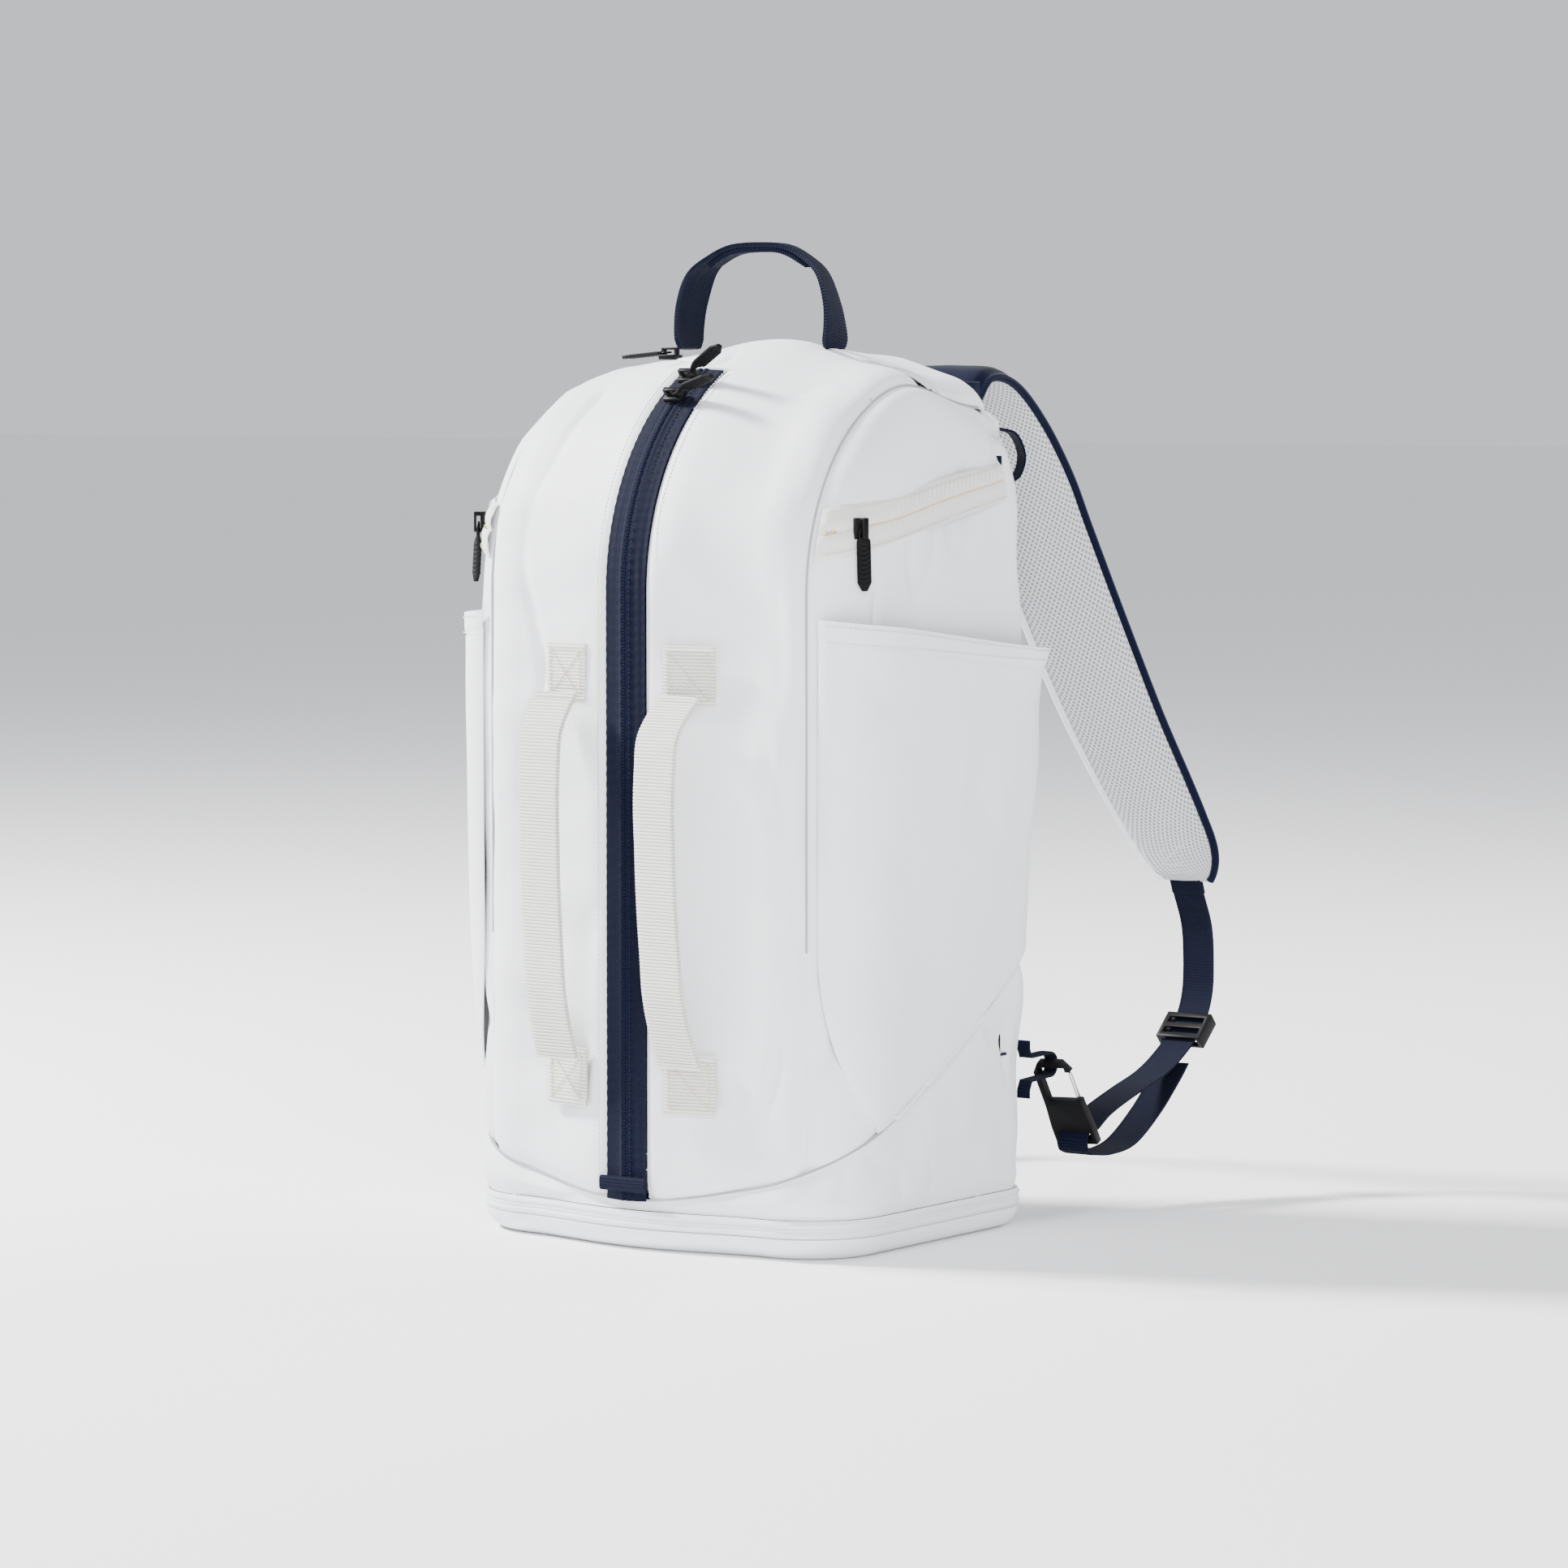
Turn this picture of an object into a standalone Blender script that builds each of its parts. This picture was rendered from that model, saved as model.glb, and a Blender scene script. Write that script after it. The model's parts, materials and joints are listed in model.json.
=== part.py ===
"""Racket backpack, standing on its base.

The front, with the central zip, faces -Y. The back panel and the shoulder straps face +Y.
The origin is the middle of the base, on the surface that the bag stands on. Metres, +Z up.
"""
import math

import bmesh
import bpy
from mathutils import Matrix, Vector

# ---------------------------------------------------------------- body
BODY_WIDTH = 0.320
BODY_DEPTH = 0.250
FRONT_CROWN = 0.014
SHOULDER_Z = 0.440
DOME_RADIUS = 0.154
FRONT_ROUND = 0.060
BACK_ROUND = 0.035
BASE_ROUND = 0.018
TOP_BACK_ROUND = 0.010
WALL = 0.003
SEAM_GAP = 0.0006
TOUCH_GAP = 0.0003

# ---------------------------------------------------------------- seams and zips
SEAM_ANGLE = math.radians(33)
BASE_ZIP_LOW = 0.015
BASE_ZIP_HIGH = 0.027
SMILE_Z = 0.037
SMILE_ACROSS = 1.09
SMILE_RISE = 0.25
SMILE_CURVE = 1.2
ZIP_WIDTH = 0.033
ZIP_TOP_ANGLE = math.radians(63)
COIL_WIDTH = 0.006
COIL_THICKNESS = 0.0016
REAR_ZIP_Y = 0.046
REAR_ZIP_WIDTH = 0.018
BACK_SEAM_DROP = 0.026
SIDE_ZIP_WIDTH = 0.032
SIDE_ZIP_FRONT_Z = 0.480
SIDE_ZIP_BACK_Z = 0.522
SIDE_ZIP_BACK_Y = 0.080
TAPE_THICKNESS = 0.0012

# ---------------------------------------------------------------- sliders and pulls
SLIDER_LENGTH = 0.014
SLIDER_WIDTH = 0.010
SLIDER_PLATE = 0.0035
SLIDER_HEIGHT = 0.0085
BRIDGE_WIDTH = 0.0032
TUNNEL_LENGTH = 0.0080
TUNNEL_HEIGHT = 0.0034
PULL_LENGTH = 0.042
PULL_WIDTH = 0.0095
PULL_THICKNESS = 0.0022
PULL_BAR = 0.0018
PULL_WINDOW = 0.0072
PULL_RAIL = 0.0018
MAIN_LOWER_DEG = 50
MAIN_UPPER_DEG = 57
MAIN_LOWER_SWING = 20
MAIN_UPPER_SWING = 32
BOTTOM_TAB_HEIGHT = 0.010
FAR = 0.5
SLIDER_LIFT = 0.0004
SIDE_SLIDER_SHARE = 0.10
SIDE_PULL_SWING = 3
REAR_PULL_SWING = -5

# ---------------------------------------------------------------- pockets
POCKET_STAND = 0.0155
POCKET_WALL = 0.0018
POCKET_FRONT_Z = 0.425
POCKET_BACK_Z = 0.396

# ---------------------------------------------------------------- handles
GRIP_X = 0.051
GRIP_WIDTH = 0.034
GRIP_THICKNESS = 0.0040
GRIP_LOW_Z = 0.128
GRIP_HIGH_Z = 0.372
GRIP_STAND_LEFT = 0.022
GRIP_STAND_RIGHT = 0.030
GRIP_END_GAP = 0.0035
TAB_WIDTH = 0.037
TAB_HEIGHT = 0.040
TAB_THICKNESS = 0.0030
HAUL_X = 0.061
HAUL_Y = 0.020
HAUL_HEIGHT = 0.074
HAUL_CORNER = 0.024
HAUL_WIDTH = 0.030
HAUL_THICKNESS = 0.0036

# ---------------------------------------------------------------- harness
STRAP_WIDTH = 0.072
STRAP_THICKNESS = 0.012

def from_back(points):
    """Points whose y is given from the middle of the back, as points of the bag."""
    return tuple((x, y + BODY_DEPTH / 2, z) for x, y, z in points)


STRAP_ROUTE = from_back((
    (0.062, 0.0120, 0.566), (0.062, 0.0270, 0.583), (0.064, 0.0530, 0.578), (0.067, 0.0830, 0.552),
    (0.072, 0.1090, 0.515), (0.078, 0.1250, 0.478), (0.090, 0.1400, 0.430), (0.104, 0.1510, 0.385),
    (0.118, 0.1640, 0.340), (0.133, 0.1810, 0.294), (0.147, 0.1970, 0.252), (0.155, 0.2050, 0.222),
))
STRAP_TURN = 0.42
WEBBING_WIDTH = 0.025
WEBBING_THICKNESS = 0.0016
LOWER_ROUTE = from_back((
    (0.1550, 0.2070, 0.2140), (0.1570, 0.2150, 0.1900), (0.1575, 0.2170, 0.1640), (0.1575, 0.2150, 0.1400),
    (0.1575, 0.2040, 0.1200), (0.1575, 0.1830, 0.1040), (0.1570, 0.1550, 0.0900), (0.1560, 0.1200, 0.0800),
    (0.1550, 0.0850, 0.0690), (0.1550, 0.0650, 0.0590),
))
TAIL_ROUTE = from_back((
    (0.1550, 0.0600, 0.0420), (0.1560, 0.0830, 0.0400), (0.1565, 0.1130, 0.0440), (0.1570, 0.1450, 0.0620),
    (0.1575, 0.1710, 0.0830), (0.1575, 0.1830, 0.0940),
))
LADDER_AT = 0.470
LADDER_WIDTH = 0.036
LADDER_LENGTH = 0.024
LADDER_BAR = 0.0045
LADDER_THICKNESS = 0.0040
HOOK_NOSE = from_back(((0.1520, 0.0290, 0.1060),))[0]
HOOK_BAR = from_back(((0.1550, 0.0580, 0.0540),))[0]
HOOK_WIDTH = 0.034
HOOK_EYE_WIDTH = 0.022
HOOK_THICKNESS = 0.0060
HOOK_FRAME = 0.0045
SLOT_HEIGHT = 0.0050
EYE_HEIGHT = 0.028
GATE_WIRE = 0.0014
GATE_SPREAD = 0.0026
ANCHOR_WIDTH = 0.010
PAD_WIDTH = 0.100
PAD_HEIGHT = 0.400
PAD_THICKNESS = 0.012
PAD_FOOT = 0.130
PATCH_X = 0.110
PATCH_LOW = 0.548
PATCH_HIGH = 0.580
PATCH_THICKNESS = 0.0024

# ---------------------------------------------------------------- inside
BOARD_THICKNESS = 0.003
SHEET_THICKNESS = 0.002
SHEET_GAP = 0.0008
SHOE_FLOOR_Z = 0.120
DIVIDER_Y = 0.080

# worked out from the values above
FLAT_X = BODY_WIDTH / 2 - FRONT_ROUND
DOME_Y = -BODY_DEPTH / 2 + DOME_RADIUS
TOP_Z = SHOULDER_Z + DOME_RADIUS
SEAM_X = FLAT_X + FRONT_ROUND * math.sin(SEAM_ANGLE)
BODY_HEIGHT = TOP_Z + FRONT_CROWN

for stale in list(bpy.data.objects):
    bpy.data.objects.remove(stale, do_unlink=True)

parts = bpy.data.collections.new("racket_backpack")
cutters = bpy.data.collections.new("cutters")
bpy.context.scene.collection.children.link(parts)
bpy.context.scene.collection.children.link(cutters)


# ---------------------------------------------------------------- helpers
def material(name, colour, roughness, metallic=0.0):
    """A Principled finish, made once for each name."""
    found = bpy.data.materials.get(name)
    if found:
        return found
    made = bpy.data.materials.new(name)
    made.use_nodes = True
    made.diffuse_color = (*colour, 1.0)
    shader = made.node_tree.nodes["Principled BSDF"]
    shader.inputs["Base Color"].default_value = (*colour, 1.0)
    shader.inputs["Roughness"].default_value = roughness
    shader.inputs["Metallic"].default_value = metallic
    return made


FINISHES = {
    "white": ((0.80, 0.83, 0.86), 0.55, 0.0),
    "offwhite": ((0.76, 0.75, 0.72), 0.75, 0.0),
    "navy": ((0.016, 0.028, 0.075), 0.80, 0.0),
    "black": ((0.012, 0.012, 0.014), 0.45, 0.0),
    "mesh": ((0.60, 0.62, 0.66), 0.90, 0.0),
    "steel": ((0.62, 0.63, 0.65), 0.25, 1.0),
    "board": ((0.10, 0.10, 0.11), 0.60, 0.0),
}


def finish(piece, kind):
    """Give a piece its own copy of a named finish."""
    colour, roughness, metallic = FINISHES[kind]
    piece.data.materials.clear()
    piece.data.materials.append(material(piece.name + "_finish", colour, roughness, metallic))
    return piece


def add_object(name, bm, kind, where=None):
    """Turn a bmesh into a named object in the parts collection."""
    mesh = bpy.data.meshes.new(name)
    bm.to_mesh(mesh)
    bm.free()
    piece = bpy.data.objects.new(name, mesh)
    parts.objects.link(piece)
    if where is not None:
        piece.matrix_world = where
    return finish(piece, kind)


def add_cutter(name, bm, where=None):
    """A cutting tool, which isn't part of the bag."""
    mesh = bpy.data.meshes.new(name)
    bm.to_mesh(mesh)
    bm.free()
    tool = bpy.data.objects.new(name, mesh)
    cutters.objects.link(tool)
    tool.hide_render = True
    tool.display_type = "WIRE"
    if where is not None:
        tool.matrix_world = where
    return tool


def box(low, high):
    """A bmesh box between two corners."""
    bm = bmesh.new()
    bmesh.ops.create_cube(bm, size=1.0)
    size = Vector(high) - Vector(low)
    middle = (Vector(high) + Vector(low)) / 2
    bmesh.ops.scale(bm, vec=size, verts=bm.verts)
    bmesh.ops.translate(bm, vec=middle, verts=bm.verts)
    return bm


def make_real(piece):
    """Apply every modifier on a piece."""
    bpy.context.view_layer.update()
    graph = bpy.context.evaluated_depsgraph_get()
    mesh = bpy.data.meshes.new_from_object(piece.evaluated_get(graph))
    piece.modifiers.clear()
    piece.data = mesh
    return piece


def cut(piece, tool, operation="DIFFERENCE"):
    """Cut a piece with a tool, for good."""
    step = piece.modifiers.new("cut", "BOOLEAN")
    step.operation = operation
    step.solver = "EXACT"
    step.object = tool
    return make_real(piece)


def loose_pieces(piece):
    """Split an object into its loose bodies and give back the list."""
    bm = bmesh.new()
    bm.from_mesh(piece.data)
    left = set(bm.verts)
    groups = []
    while left:
        stack = [left.pop()]
        group = set(stack)
        while stack:
            vert = stack.pop()
            for edge in vert.link_edges:
                other = edge.other_vert(vert)
                if other not in group:
                    group.add(other)
                    left.discard(other)
                    stack.append(other)
        groups.append(group)
    bm.verts.ensure_lookup_table()
    bm.verts.index_update()
    index_groups = [{v.index for v in g} for g in groups]
    bm.free()
    made = []
    for number, keep in enumerate(index_groups):
        part = bmesh.new()
        part.from_mesh(piece.data)
        part.verts.index_update()
        gone = [v for v in part.verts if v.index not in keep]
        bmesh.ops.delete(part, geom=gone, context="VERTS")
        made.append(add_object("%s_%d" % (piece.name, number), part, "white"))
    bpy.data.objects.remove(piece, do_unlink=True)
    return made


def centre_of(piece):
    """The middle of a piece's box."""
    points = [v.co for v in piece.data.vertices]
    low = Vector([min(p[i] for p in points) for i in range(3)])
    high = Vector([max(p[i] for p in points) for i in range(3)])
    return (low + high) / 2


def name_piece(piece, name, kind):
    """Name a split piece and give it its finish."""
    piece.name = name
    piece.data.name = name
    return finish(piece, kind)


def sheet(name, kind, columns, rows, place, thickness, offset=-1.0):
    """A fabric piece: a grid laid on the surface place(u, v), given its thickness inwards."""
    bm = bmesh.new()
    bmesh.ops.create_grid(bm, x_segments=columns, y_segments=rows, size=0.5)
    for vert in bm.verts:
        vert.co = place(vert.co.x + 0.5, vert.co.y + 0.5)
    bm.normal_update()
    inside = Vector((0.0, 0.0, BODY_HEIGHT / 2))
    facing = sum(f.normal.dot(f.calc_center_median() - inside) * f.calc_area() for f in bm.faces)
    if facing < 0:
        bmesh.ops.reverse_faces(bm, faces=bm.faces)
    piece = add_object(name, bm, kind)
    wall = piece.modifiers.new("thickness", "SOLIDIFY")
    wall.thickness = thickness
    wall.offset = offset
    wall.use_even_offset = True
    return piece


def smooth_route(points, count):
    """Points along a smooth curve through the given ones."""
    knots = [Vector(p) for p in points]
    knots = [knots[0] * 2 - knots[1]] + knots + [knots[-1] * 2 - knots[-2]]
    spans = len(points) - 1
    route = []
    for number in range(count + 1):
        at = number / count * spans
        span = min(int(at), spans - 1)
        k = at - span
        a, b, c, d = knots[span:span + 4]
        route.append(0.5 * ((2 * b) + (c - a) * k + (2 * a - 5 * b + 4 * c - d) * k ** 2
                            + (3 * b - a - 3 * c + d) * k ** 3))
    return route


def ribbon(name, kind, route, across, width, thickness, across_cuts=1):
    """A flat band along a route; across(k) is its width direction."""
    last = len(route) - 1

    def place(u, v):
        spot = min(last, int(round(v * last)))
        return route[spot] + across(spot / last).normalized() * (u - 0.5) * width

    return sheet(name, kind, across_cuts, last, place, thickness, offset=0.0)


def frame_at(origin, forward, up):
    """A matrix whose X is forward and whose Z is up, at the origin given."""
    x = Vector(forward).normalized()
    z = (Vector(up) - x * x.dot(Vector(up))).normalized()
    y = z.cross(x)
    turn = Matrix((x, y, z)).transposed().to_4x4()
    return Matrix.Translation(Vector(origin)) @ turn


def mirrored(point, side):
    """A point on the right-hand side, or its twin on the left."""
    return Vector((point[0] * side, point[1], point[2]))


# ---------------------------------------------------------------- the bag's surface
def inset(x, radius):
    """How far a rounded edge pulls the surface in at a given x."""
    beyond = max(0.0, abs(x) - (BODY_WIDTH / 2 - radius))
    beyond = min(beyond, radius)
    return radius - math.sqrt(max(0.0, radius ** 2 - beyond ** 2))


def crown(x):
    """How far the filled front stands forward of its edges."""
    share = min(1.0, abs(x) / FLAT_X)
    return FRONT_CROWN * (1 - share ** 2) ** 2


def front_y(x):
    return -BODY_DEPTH / 2 + inset(x, FRONT_ROUND) - crown(x)


def top_z(x):
    return TOP_Z - inset(x, FRONT_ROUND) + crown(x)


def on_dome(x, angle, lift=0.0):
    """A point of the domed top front; angle 0 is its foot, 90 degrees its crest."""
    deep = DOME_Y - front_y(x) + lift
    high = top_z(x) - SHOULDER_Z + lift
    return Vector((x, DOME_Y - deep * math.cos(angle), SHOULDER_Z + high * math.sin(angle)))


def surface_y(x, z):
    """The front of the bag at a given x and height."""
    if z <= SHOULDER_Z:
        return front_y(x)
    rise = min(1.0, (z - SHOULDER_Z) / (top_z(x) - SHOULDER_Z))
    return DOME_Y - (DOME_Y - front_y(x)) * math.sqrt(1 - rise ** 2)


def smile_z(x, y):
    """The height of the seam between the boot panel and the panels above it."""
    back = max(-FRONT_CROWN, y + BODY_DEPTH / 2)
    return SMILE_Z + SMILE_ACROSS * x ** 2 + SMILE_RISE * back + SMILE_CURVE * back * abs(back)


SIDE_FLAT = BODY_DEPTH - FRONT_ROUND - BACK_ROUND
FRONT_ARC = FRONT_ROUND * math.pi / 2
BACK_ARC = BACK_ROUND * math.pi / 2


def round_side(along, stand):
    """A point round the side, from the start of the front corner to the end of the back one."""
    if along < FRONT_ARC:
        angle = along / FRONT_ROUND
        reach = FRONT_ROUND + stand
        return (BODY_WIDTH / 2 - FRONT_ROUND + reach * math.sin(angle),
                -BODY_DEPTH / 2 + FRONT_ROUND - reach * math.cos(angle))
    if along < FRONT_ARC + SIDE_FLAT:
        return BODY_WIDTH / 2 + stand, -BODY_DEPTH / 2 + FRONT_ROUND + along - FRONT_ARC
    angle = (along - FRONT_ARC - SIDE_FLAT) / BACK_ROUND
    reach = BACK_ROUND + stand
    return (BODY_WIDTH / 2 - BACK_ROUND + reach * math.cos(angle),
            BODY_DEPTH / 2 - BACK_ROUND + reach * math.sin(angle))


def slice_loop(x):
    """The closed outline of the bag at one x, as (y, z) points from the front of the base upwards."""
    front = front_y(x)
    back = BODY_DEPTH / 2 - inset(x, BACK_ROUND)
    low = inset(x, BASE_ROUND)
    high = top_z(x)
    high_back = high - crown(x) * 0.7
    loop = []
    for step in range(5):
        angle = math.radians(90 * step / 4)
        loop.append((front + BASE_ROUND * (1 - math.sin(angle)), low + BASE_ROUND * (1 - math.cos(angle))))
    for step in range(1, 6):
        loop.append((front, low + BASE_ROUND + (SHOULDER_Z - low - BASE_ROUND) * step / 6))
    for step in range(13):
        spot = on_dome(x, math.radians(90 * step / 12))
        loop.append((spot.y, spot.z))
    for step in range(1, 3):
        share = step / 2
        y = DOME_Y + (back - TOP_BACK_ROUND - DOME_Y) * share
        loop.append((y, high + (high_back - high) * share))
    for step in range(1, 4):
        angle = math.radians(90 * step / 3)
        loop.append((back - TOP_BACK_ROUND + TOP_BACK_ROUND * math.sin(angle),
                     high_back - TOP_BACK_ROUND * (1 - math.cos(angle))))
    for step in range(1, 6):
        top = high_back - TOP_BACK_ROUND
        loop.append((back, top + (low + BASE_ROUND - top) * step / 6))
    for step in range(5):
        angle = math.radians(90 * step / 4)
        loop.append((back - BASE_ROUND * (1 - math.cos(angle)), low + BASE_ROUND * (1 - math.sin(angle))))
    return loop


def slice_places():
    """The x of each slice: closer together round the edges."""
    places = [0.0, 0.020, 0.040, 0.060, 0.080]
    places += [FLAT_X + FRONT_ROUND * math.sin(math.radians(a)) for a in (0, 18, 36, 54, 70, 82)]
    places.append(BODY_WIDTH / 2)
    return [-x for x in reversed(places[1:])] + places


def bag_shell():
    """The whole hollow bag, before it is cut into its panels."""
    bm = bmesh.new()
    rows = [[bm.verts.new((x, y, z)) for y, z in slice_loop(x)] for x in slice_places()]
    count = len(rows[0])
    for left, right in zip(rows, rows[1:]):
        for number in range(count):
            after = (number + 1) % count
            bm.faces.new((left[number], left[after], right[after], right[number]))
    bm.faces.new(rows[0])
    bm.faces.new(rows[-1])
    bmesh.ops.recalc_face_normals(bm, faces=bm.faces)
    shell = add_object("shell", bm, "white")
    wall = shell.modifiers.new("wall", "SOLIDIFY")
    wall.thickness = WALL
    wall.offset = -1.0
    wall.use_even_offset = True
    make_real(shell)
    flat = bmesh.new()
    flat.from_mesh(shell.data)
    bmesh.ops.triangulate(flat, faces=flat.faces)
    flat.to_mesh(shell.data)
    flat.free()
    return shell


def slab(axis, at, low, high, gap=SEAM_GAP):
    """A thin cutting slab across one axis."""
    low, high = list(low), list(high)
    low[axis], high[axis] = at - gap / 2, at + gap / 2
    return add_cutter("seam_cut", box(low, high))




def cut_base(shell):
    """Part the shell into the base panel, the base zip and the rest."""
    for height in (BASE_ZIP_LOW, BASE_ZIP_HIGH):
        cut(shell, slab(2, height, (-FAR, -FAR, 0), (FAR, FAR, 0)))
    base, tape, upper = sorted(loose_pieces(shell), key=lambda p: centre_of(p).z)
    name_piece(base, "base_panel", "white")
    name_piece(tape, "base_zip_tape", "white")
    return upper


def cut_back(upper):
    """Free the back panel from the rest."""
    behind = BODY_DEPTH / 2 - BACK_ROUND / 2
    top = TOP_Z - BACK_SEAM_DROP
    for side in (-1, 1):
        cut(upper, slab(0, side * SEAM_X, (0, behind, 0), (0, FAR, top)))
    reach = SEAM_X + SEAM_GAP / 2
    cut(upper, slab(2, top, (-reach, behind, 0), (reach, FAR, 0)))
    pieces = sorted(loose_pieces(upper), key=lambda p: centre_of(p).y)
    name_piece(pieces[-1], "back_panel", "navy")
    return pieces[0]


def cut_smile(upper):
    """Free the boot panel along its curved seam."""
    bm = bmesh.new()
    bmesh.ops.create_grid(bm, x_segments=32, y_segments=20, size=0.5)
    for vert in bm.verts:
        x = vert.co.x * (BODY_WIDTH + 0.060)
        y = vert.co.y * (BODY_DEPTH + 0.090)
        vert.co = (x, y, smile_z(x, y))
    tool = add_cutter("smile_cut", bm)
    wall = tool.modifiers.new("thickness", "SOLIDIFY")
    wall.thickness = SEAM_GAP
    wall.offset = 0.0
    cut(upper, make_real(tool))
    boot, rest = sorted(loose_pieces(upper), key=lambda p: centre_of(p).z)
    name_piece(boot, "boot_panel", "white")
    return rest


def cut_sides(upper):
    """Free the two side panels."""
    for side in (-1, 1):
        cut(upper, slab(0, side * SEAM_X, (0, -FAR, 0), (0, FAR, FAR * 2), SEAM_GAP * 1.5))
    left, middle, right = sorted(loose_pieces(upper), key=lambda p: centre_of(p).x)
    name_piece(left, "side_panel_left", "white")
    name_piece(right, "side_panel_right", "white")
    return middle


def cut_front(middle):
    """Part the middle band into the front panels, the zips and the top panels."""
    for edge in (-1, 1):
        y = REAR_ZIP_Y + edge * REAR_ZIP_WIDTH / 2
        cut(middle, slab(1, y, (-FAR, 0, SHOULDER_Z), (FAR, 0, FAR * 2)))
    front, tape, rear = sorted(loose_pieces(middle), key=lambda p: centre_of(p).y)
    name_piece(tape, "rear_zip_tape", "white")
    name_piece(rear, "top_panel_rear", "white")
    hub = Vector((0.0, DOME_Y, SHOULDER_Z))
    reach = DOME_RADIUS + 0.050
    top_cut = box((-FAR, 0.020, -SEAM_GAP / 2), (FAR, reach, SEAM_GAP / 2))
    turn = Matrix.Rotation(math.pi - ZIP_TOP_ANGLE, 4, "X")
    cut(front, add_cutter("top_cut", top_cut, Matrix.Translation(hub) @ turn))
    front, top = sorted(loose_pieces(front), key=lambda p: centre_of(p).z)
    name_piece(top, "top_panel", "white")
    for side in (-1, 1):
        cut(front, slab(0, side * ZIP_WIDTH / 2, (0, -FAR, 0), (0, FAR, FAR * 2)))
    left, tape, right = sorted(loose_pieces(front), key=lambda p: centre_of(p).x)
    name_piece(left, "front_panel_left", "white")
    name_piece(tape, "main_zip_tape", "navy")
    name_piece(right, "front_panel_right", "white")


def make_shell():
    """The panels of the bag, cut from one hollow form so that they meet along their seams."""
    upper = cut_base(bag_shell())
    upper = cut_back(upper)
    upper = cut_smile(upper)
    cut_front(cut_sides(upper))


# ---------------------------------------------------------------- pockets
def make_pocket(name, side):
    """A slip pocket on the side panel, open at the top."""
    start = FRONT_ROUND * (SEAM_ANGLE + 0.10)
    end = FRONT_ARC + SIDE_FLAT + BACK_ARC * 0.62

    def place(u, v):
        along = start + (end - start) * u
        edge = 1 - (2 * u - 1) ** 6
        rise = min(1.0, 0.12 + v * 1.4) if v > 0 else 0.0
        stand = POCKET_WALL + 0.0012 + (POCKET_STAND - POCKET_WALL) * edge * rise
        x, y = round_side(along, stand)
        _, base_y = round_side(along, 0.0)
        low = smile_z(x, base_y) + 0.004
        high = POCKET_FRONT_Z + (POCKET_BACK_Z - POCKET_FRONT_Z) * u
        return Vector((x * side, y, low + (high - low) * v))

    return sheet(name, "white", 20, 8, place, POCKET_WALL)


# ---------------------------------------------------------------- zips
def side_zip_point(share, stand=0.0):
    """A point on the line of the right-hand side zip, from the front corner to the back."""
    z = SIDE_ZIP_FRONT_Z + (SIDE_ZIP_BACK_Z - SIDE_ZIP_FRONT_Z) * share
    return side_point(share, z, stand)


def side_point(share, z, stand):
    """A point on the right-hand side at a height; share runs from the front corner to the back."""
    corner = 0.25
    if share < corner:
        angle = SEAM_ANGLE + 0.14 + (math.pi / 2 - SEAM_ANGLE - 0.14) * share / corner
        x = FLAT_X + FRONT_ROUND * math.sin(angle)
        y = surface_y(x, z)
        return Vector((x + stand * math.sin(angle), y - stand * math.cos(angle), z))
    start = surface_y(BODY_WIDTH / 2, z)
    y = start + (SIDE_ZIP_BACK_Y - start) * (share - corner) / (1 - corner)
    return Vector((BODY_WIDTH / 2 + stand, y, z))


def make_side_zip(name, side):
    """The tape of a side zip, sewn over the slit in the side panel."""
    def place(u, v):
        z = SIDE_ZIP_FRONT_Z + (SIDE_ZIP_BACK_Z - SIDE_ZIP_FRONT_Z) * u + (v - 0.5) * SIDE_ZIP_WIDTH
        spot = side_point(u, z, TAPE_THICKNESS + TOUCH_GAP * 4)
        return mirrored(spot, side)

    return sheet(name, "offwhite", 16, 2, place, TAPE_THICKNESS)


def make_main_coil():
    """The coil of the main zip, behind its tape."""
    def place(u, v):
        x = (u - 0.5) * COIL_WIDTH
        sunk = WALL + 2 * TOUCH_GAP
        straight = SHOULDER_Z - SMILE_Z - 0.020
        arc = ZIP_TOP_ANGLE * 0.97
        if v < 0.6:
            return Vector((x, front_y(0) + sunk, SMILE_Z + 0.020 + straight * v / 0.6))
        return on_dome(0, arc * (v - 0.6) / 0.4, -sunk) + Vector((x, 0, 0))

    return sheet("main_zip_coil", "navy", 1, 20, place, COIL_THICKNESS)


def make_bottom_tab():
    """The folded webbing tab at the foot of the main zip."""
    stand = TAB_THICKNESS + TOUCH_GAP
    low = SMILE_Z + 0.003
    face = front_y(0)
    bm = box((-TAB_WIDTH / 2, face - stand, low), (TAB_WIDTH / 2, face - TOUCH_GAP, low + BOTTOM_TAB_HEIGHT))
    return add_object("main_zip_tab", bm, "navy")


# ---------------------------------------------------------------- sliders and pulls
def make_slider(name, where):
    """A zip slider: a plate with a raised bridge, which the pull's bar passes under."""
    half = SLIDER_LENGTH / 2
    block = box((-half, -SLIDER_WIDTH / 2, 0), (half, SLIDER_WIDTH / 2, SLIDER_HEIGHT))
    slider = add_object(name, block, "black")
    for side in (-1, 1):
        inner = side * BRIDGE_WIDTH / 2
        outer = side * SLIDER_WIDTH
        low = (-half * 2, min(inner, outer), SLIDER_PLATE)
        bm = box(low, (half * 2, max(inner, outer), SLIDER_HEIGHT * 2))
        cut(slider, add_cutter("bridge_cut", bm))
    bm = box((-TUNNEL_LENGTH / 2, -SLIDER_WIDTH, SLIDER_PLATE),
             (TUNNEL_LENGTH / 2, SLIDER_WIDTH, SLIDER_PLATE + TUNNEL_HEIGHT))
    cut(slider, add_cutter("tunnel_cut", bm))
    slider.matrix_world = where
    return slider


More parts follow.
